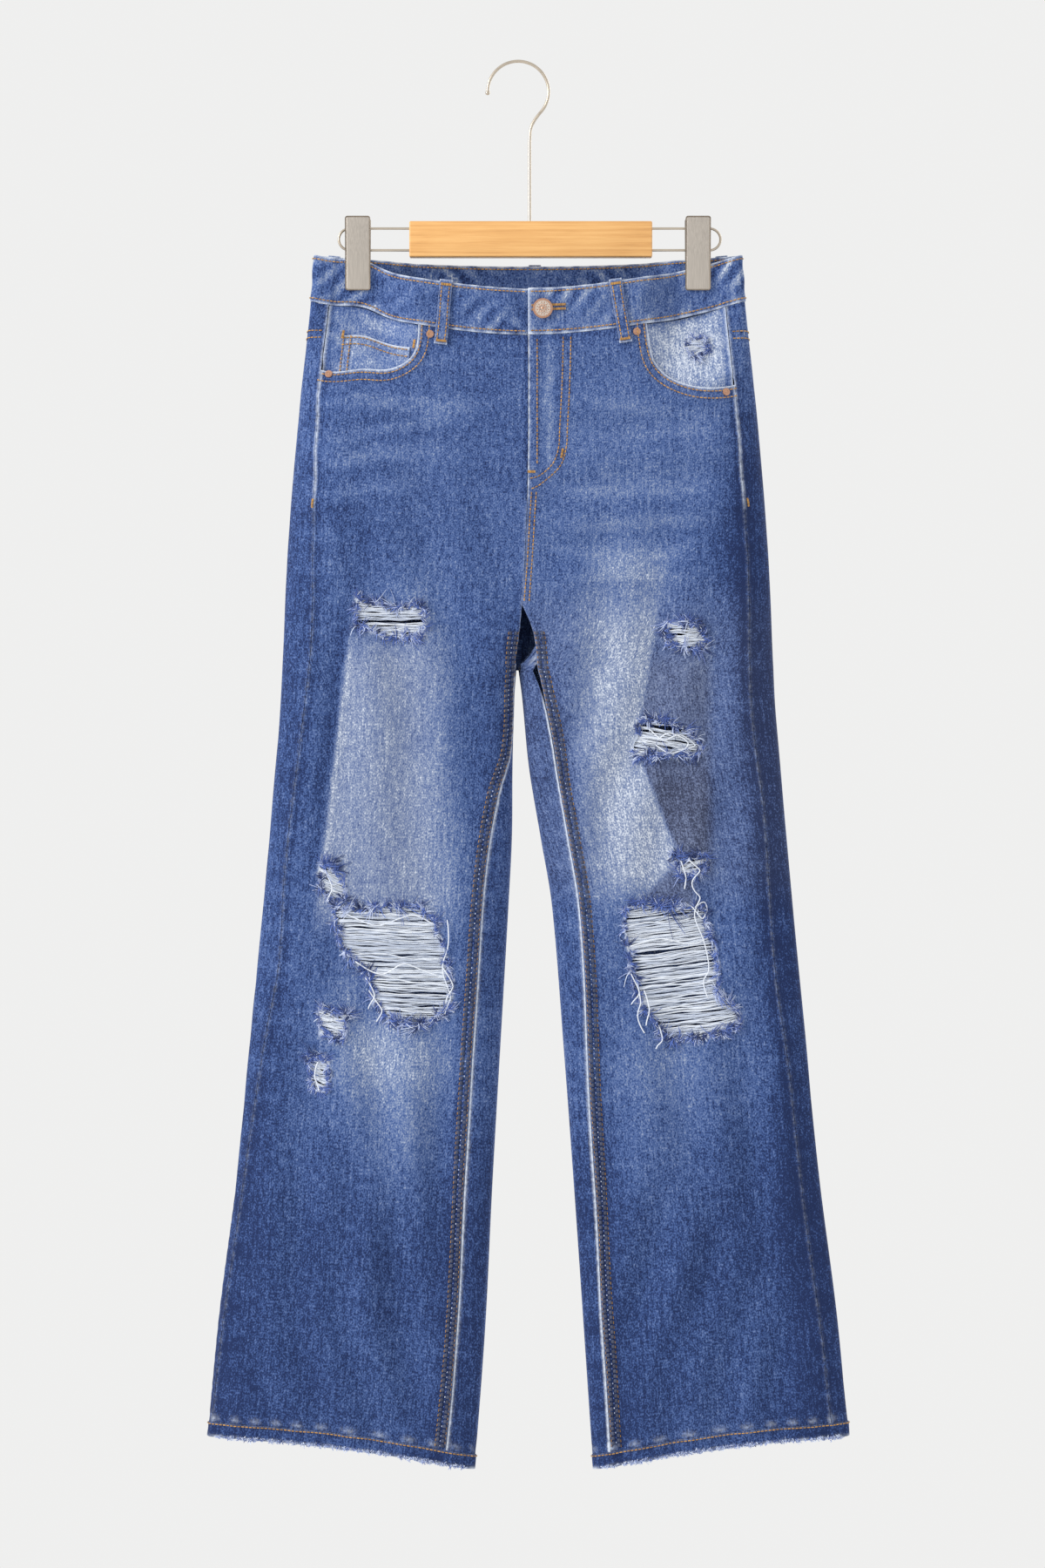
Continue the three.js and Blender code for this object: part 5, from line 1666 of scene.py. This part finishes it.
def finish_hard(made, node_name):
    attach(made, "root")
    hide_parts(node_name)
    print(made.name, len(made.data.polygons), "faces")


def just_added(name, material):
    """The new primitive, with its place moved into its mesh."""
    made = bpy.context.object
    made.name = name
    bpy.ops.object.transform_apply(location=True, rotation=True, scale=True)
    made.data.materials.append(material)
    return made


def edit_selected(made, kind, chosen):
    """Goes into edit mode with only these edges or faces selected."""
    bpy.ops.object.mode_set(mode="EDIT")
    bpy.ops.mesh.select_all(action="DESELECT")
    bpy.ops.object.mode_set(mode="OBJECT")
    for index in chosen:
        getattr(made.data, kind)[index].select = True
    bpy.ops.object.mode_set(mode="EDIT")


def join(parts, name):
    bpy.ops.object.select_all(action="DESELECT")
    for part in parts:
        part.select_set(True)
    bpy.context.view_layer.objects.active = parts[0]
    bpy.ops.object.join()
    parts[0].name = name
    return parts[0]


BAR = {"x0": -94.5, "x1": 116.5, "top": -138.0, "bottom": -169.0, "depth": 14.0}
HOOK_WIRE, HOOK_RADIUS, STEM_X = 1.7, 26.5, 10.0
down = [(15.4, -48), (12.2, -53.5), (10.4, -60), (STEM_X, -70), (STEM_X, BAR["top"] + 0.3)]
bend_in = [(13.9, -50.3), (11.1, -56.5)]
path = arc(0, HOOK_WIRE - HOOK_RADIUS, HOOK_RADIUS, 182, -44, 60)
path += [down[0], bend_in[0], down[1], bend_in[1], *down[2:]]
hook = wire_object("bent_hook", path, HOOK_WIRE * 0.8)
bpy.ops.mesh.primitive_uv_sphere_add(segments=20, ring_count=12, radius=2.1 * MM,
                                     location=(path[0][0] * MM, 0, path[0][1] * MM))
tip = just_added("hook_tip", steel)
smooth(tip, 60)
hook = join([hook, tip], "bent_hook")
finish_hard(hook, "hook")

LOOP = {"x0": -156.0, "x1": 176.0, "top": -143.8, "bottom": -162.7}
middle, half_tall = (LOOP["top"] + LOOP["bottom"]) / 2, (LOOP["top"] - LOOP["bottom"]) / 2
path = arc(LOOP["x1"] - half_tall, middle, half_tall, 90, -90, 18)
path += arc(LOOP["x0"] + half_tall, middle, half_tall, 270, 90, 18)
finish_hard(wire_object("clip_rail_wire", path, 1.1, closed=True), "wire_loop")

# %% The wooden bar
size = np.array([BAR["x1"] - BAR["x0"], BAR["depth"], BAR["top"] - BAR["bottom"]]) * MM
spot = np.array([(BAR["x0"] + BAR["x1"]) / 2, 0, (BAR["top"] + BAR["bottom"]) / 2]) * MM
bpy.ops.mesh.primitive_cube_add(size=1, location=spot, scale=size)
bar = just_added("wooden_bar", wood)
bpy.ops.object.mode_set(mode="EDIT")
bpy.ops.mesh.select_all(action="SELECT")
bpy.ops.mesh.bevel(offset=1.3 * MM, segments=4, affect="EDGES")
bpy.ops.object.mode_set(mode="OBJECT")
smooth(bar, 40)
finish_hard(bar, "bar")

# %% [markdown]
# ## Clips
# Each clip is two bent plates round the wire: straight where they grip, and spread above, with a
# coiled spring between them. A plate is a thin box, cut across at the bend, with its top pushed
# out and its four corners rounded.

# %% Clip plates and springs
JAW = {"top": -134.0, "bend": -168.0, "bottom": -198.0, "width": 22, "thick": 1.4, "grip": 3.7,
       "spread": 9.0}


def clip_plate(name, x, facing):
    grip = JAW["grip"] + JAW["thick"] / 2
    spot = np.array([x, facing * grip, (JAW["top"] + JAW["bottom"]) / 2]) * MM
    size = np.array([JAW["width"], JAW["thick"], JAW["top"] - JAW["bottom"]]) * MM
    bpy.ops.object.select_all(action="DESELECT")
    bpy.ops.mesh.primitive_cube_add(size=1, location=spot, scale=size)
    plate = just_added(name, plate_steel)
    deep = [v.co.y for v in plate.data.vertices]
    corners = [e.index for e in plate.data.edges
               if abs(deep[e.vertices[0]] - deep[e.vertices[1]]) > 1e-5]
    edit_selected(plate, "edges", corners)
    bpy.ops.mesh.bevel(offset=2.2 * MM, segments=5, affect="EDGES")
    for level in (JAW["bend"] + 2.5, JAW["bend"] - 0.5):
        bpy.ops.mesh.select_all(action="SELECT")
        bpy.ops.mesh.bisect(plane_co=(0, 0, level * MM), plane_no=(0, 0, 1))
    bpy.ops.object.mode_set(mode="OBJECT")
    rise = (JAW["spread"] - JAW["grip"]) / (JAW["top"] - JAW["bend"])
    for vertex in plate.data.vertices:
        above = max(vertex.co.z / MM - JAW["bend"], 0)
        vertex.co.y += facing * rise * above * MM
    bevel_edges(plate, 0.4, degrees=55)
    smooth(plate, 40)
    return plate


def coil(x, centre, radius, wide, turns=7, thick=0.75):
    t = np.linspace(0, turns, turns * 20)
    swing = 2 * np.pi * t
    points = np.stack([x - wide / 2 + wide * t / turns, centre[0] + radius * np.cos(swing),
                       centre[1] + radius * np.sin(swing)], -1)
    verts, faces = tube_mesh(points[None], np.full((1, len(t)), thick), 8)
    return make_object("spring", verts, faces, steel)


for side, word in SIDE_WORDS.items():
    x = CENTRE_X + side * CLIP_OFFSET
    for facing, where in ((-1, "front"), (1, "back")):
        finish_hard(clip_plate(f"clip_plate_{word}_{where}", x, facing),
                    f"clip_{word}_{where}")
    lo, hi = (np.array(corner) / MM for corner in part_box(f"clip_{word}_spring"))
    centre, tall, wide = (lo + hi) / 2, (hi[2] - lo[2]) / 2, hi[0] - lo[0]
    spring = coil(x, centre[1:], tall - 0.8, wide - 1.6)
    bpy.ops.object.select_all(action="DESELECT")
    bpy.ops.mesh.primitive_cylinder_add(vertices=20, radius=(tall - 1.8) * MM, depth=wide * MM,
                                        location=centre * MM, rotation=(0, math.pi / 2, 0))
    spring = join([spring, just_added("pin", steel)], f"coiled_spring_{word}")
    smooth(spring, 50)
    finish_hard(spring, f"clip_{word}_spring")

# %% [markdown]
# ## Button and rivets
# The button is a pressed cap with a rolled rim, a pale enamelled face and a plain ring of copper
# rays and dots. A rivet is a small copper cap with a dimple. Each starts as a disc that is inset
# and extruded in steps, as a lathe would cut it.

# %% Pressed caps
def pressed_cap(name, radius, steps_out, sides, rim, face=None, face_from=99):
    """A disc facing -Y at the origin: each step is (inset, rise) in millimetres."""
    bpy.ops.object.select_all(action="DESELECT")
    bpy.ops.mesh.primitive_cylinder_add(vertices=sides, radius=radius * MM, depth=0.8 * MM,
                                        rotation=(math.pi / 2, 0, 0))
    cap = just_added(name, rim)
    if face:
        cap.data.materials.append(face)
    edit_selected(cap, "polygons", [p.index for p in cap.data.polygons if p.normal.y < -0.9])
    bpy.ops.mesh.select_mode(type="FACE")
    for number, (inset, rise) in enumerate(steps_out):
        if inset:
            bpy.ops.mesh.inset(thickness=inset * MM)
        if number >= face_from:
            cap.active_material_index = 1
            bpy.ops.object.material_slot_assign()
        bpy.ops.mesh.extrude_region_move(TRANSFORM_OT_translate={"value": (0, -rise * MM, 0)})
    bpy.ops.object.mode_set(mode="OBJECT")
    return cap


def stand_on(made, side, x, z, lift):
    """Turns a piece that faces -Y at the origin, and seats it on the front of the cloth."""
    place, out = front_cloth(side, np.array([x]), np.array([z]), lift)
    turn = Vector((0, -1, 0)).rotation_difference(Vector(out[0])).to_matrix().to_4x4()
    made.data.transform(Matrix.Translation(Vector(place[0] * MM)) @ turn)
    made.data.update()


button = pressed_cap("sun_button", 8.6, [(0, 1.6), (0.35, 0.5), (0.7, 0.35), (0.5, -0.45),
                                         (0.3, 0.15), (2.5, 0.25), (2.2, 0.15)],
                     40, copper, tack_metal, 4)
bpy.ops.object.select_all(action="DESELECT")
bpy.ops.mesh.primitive_ico_sphere_add(subdivisions=2, radius=1.0 * MM)
dot = just_added("dot", copper)
DOT_RINGS = (     # ring radius, stretch of each dot, how many, turned by this share of a step
    (0, (1.5, 0.6, 1.5), 1, 0), (3.0, (0.5, 0.55, 1.25), 12, 0),
    (4.7, (0.55, 0.5, 0.55), 12, 0.5), (6.0, (0.42, 0.4, 0.42), 24, 0),
)
dots = []
for ring, size, count, turned in DOT_RINGS:
    for number in range(count):
        angle = 2 * math.pi * (number + turned) / count
        copy = dot.copy()
        copy.data = dot.data.copy()
        bpy.context.scene.collection.objects.link(copy)
        copy.scale = size
        copy.rotation_euler = (0, angle, 0)
        copy.location = (ring * MM * math.sin(angle), -3.15 * MM, ring * MM * math.cos(angle))
        dots.append(copy)
bpy.data.objects.remove(dot)
bpy.ops.object.select_all(action="DESELECT")
for each in dots:
    each.select_set(True)
bpy.context.view_layer.objects.active = dots[0]
bpy.ops.object.transform_apply(location=True, rotation=True, scale=True)
button = join([button, *dots], "sun_button")
smooth(button, 35)
stand_on(button, LEFT, 21.3, -215.8, 1.9)
finish_hard(button, "button")

# %% Rivets
RIVETS = [(LEFT, 102.6, -236), (LEFT, 179.5, -288), (RIGHT, -76, -238), (RIGHT, -164, -272)]
for number, (side, x, z) in enumerate(RIVETS, 1):
    rivet = pressed_cap(f"rivet_cap_{number}", 3.3, [(0, 0.3), (0.5, 0.4), (0.7, 0.15),
                                                     (0.5, -0.35), (0.4, 0.3)], 20, copper)
    smooth(rivet, 35)
    stand_on(rivet, side, x, z, 1.0)
    finish_hard(rivet, f"rivet_{number}")

# %% [markdown]
# ## Hidden pieces
# The zip and the shield behind it are closed inside the fly, and only show from above. They keep
# the frame's own shapes, with a woven tape and a plain lining for their finish.

# %% Zip tape, shield and slider
def woven_material(name, dark, light):
    material, tree, shader = new_material(name, 0.9)
    place = object_place(tree)
    rows = node(tree, "ShaderNodeTexWave", {"Vector": place, "Scale": 260.0, "Distortion": 0.6},
                bands_direction="Z")
    tone = maths(tree, "MULTIPLY_ADD", noise(tree, place, 700, 2.0), 0.6,
                 maths(tree, "MULTIPLY", rows.outputs["Fac"], 0.4))
    tree.links.new(ramp(tree, tone, [(0.2, dark), (0.8, light)]), shader.inputs["Base Color"])
    bump(tree, shader, tone, 0.0003, 0.5)
    return material


tape = woven_material("zip tape", (0.012, 0.02, 0.06), (0.04, 0.06, 0.14))
lining = woven_material("denim lining", (0.03, 0.055, 0.16), (0.09, 0.14, 0.31))
for name, material in (("zip", tape), ("fly_shield", lining), ("zip_slider", copper)):
    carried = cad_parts[name]
    carried.data.materials.clear()
    carried.data.materials.append(material)

# %% [markdown]
# ## Floor, light and camera
# The jeans hang from a rail, well above a plain pale floor. Soft light from all round with one
# broad lamp to the upper left shows the folds without hard shadows.

# %% Stage
bpy.ops.object.select_all(action="DESELECT")
bpy.ops.mesh.primitive_circle_add(vertices=96, radius=3.0, fill_type="NGON",
                                  location=(0, 0, -1.95))
floor = bpy.context.object
floor.name = "studio_floor"
floor_paint, tree, shader = new_material("pale floor", 0.7)
grain = noise(tree, object_place(tree), 3, 3.0)
tree.links.new(ramp(tree, grain, [(0.3, (0.80, 0.80, 0.80)), (0.7, (0.84, 0.84, 0.84))]),
               shader.inputs["Base Color"])
floor.data.materials.append(floor_paint)

scene = bpy.context.scene
scene.view_settings.view_transform = "Standard"
world = bpy.data.worlds.new("pale studio")
world.use_nodes = True
world.node_tree.nodes["Background"].inputs["Color"].default_value = (0.865, 0.865, 0.86, 1)
world.node_tree.nodes["Background"].inputs["Strength"].default_value = 1.0
scene.world = world


def softbox(name, place, target, width, height, power):
    lamp = bpy.data.lights.new(name, "AREA")
    lamp.shape = "RECTANGLE"
    lamp.size, lamp.size_y, lamp.energy = width, height, power
    made = bpy.data.objects.new(name, lamp)
    way = np.array(target) - np.array(place)
    made.location = place
    made.rotation_euler = (math.atan2(math.hypot(way[0], way[1]), -way[2]), 0,
                           math.atan2(-way[0], way[1]))
    scene.collection.objects.link(made)


softbox("key softbox", (-2.6, -1.5, 0.7), (0, 0, -0.6), 1.0, 1.6, 66)
softbox("rim softbox", (1.8, 2.2, 0.5), (0, 0, -0.6), 1.4, 1.8, 22)

FRAME_HEIGHT = 1.359        # metres shown from top to bottom
LENS, SENSOR = 100.0, 36    # millimetres
camera_data = bpy.data.cameras.new("camera")
camera_data.sensor_fit = "VERTICAL"
camera_data.sensor_height = SENSOR
camera_data.lens = LENS
camera = bpy.data.objects.new("camera", camera_data)
camera.location = (0.0038, -LENS * FRAME_HEIGHT / SENSOR - 0.012, -0.6267)
camera.rotation_euler = (math.pi / 2, 0, 0)
scene.collection.objects.link(camera)
scene.camera = camera
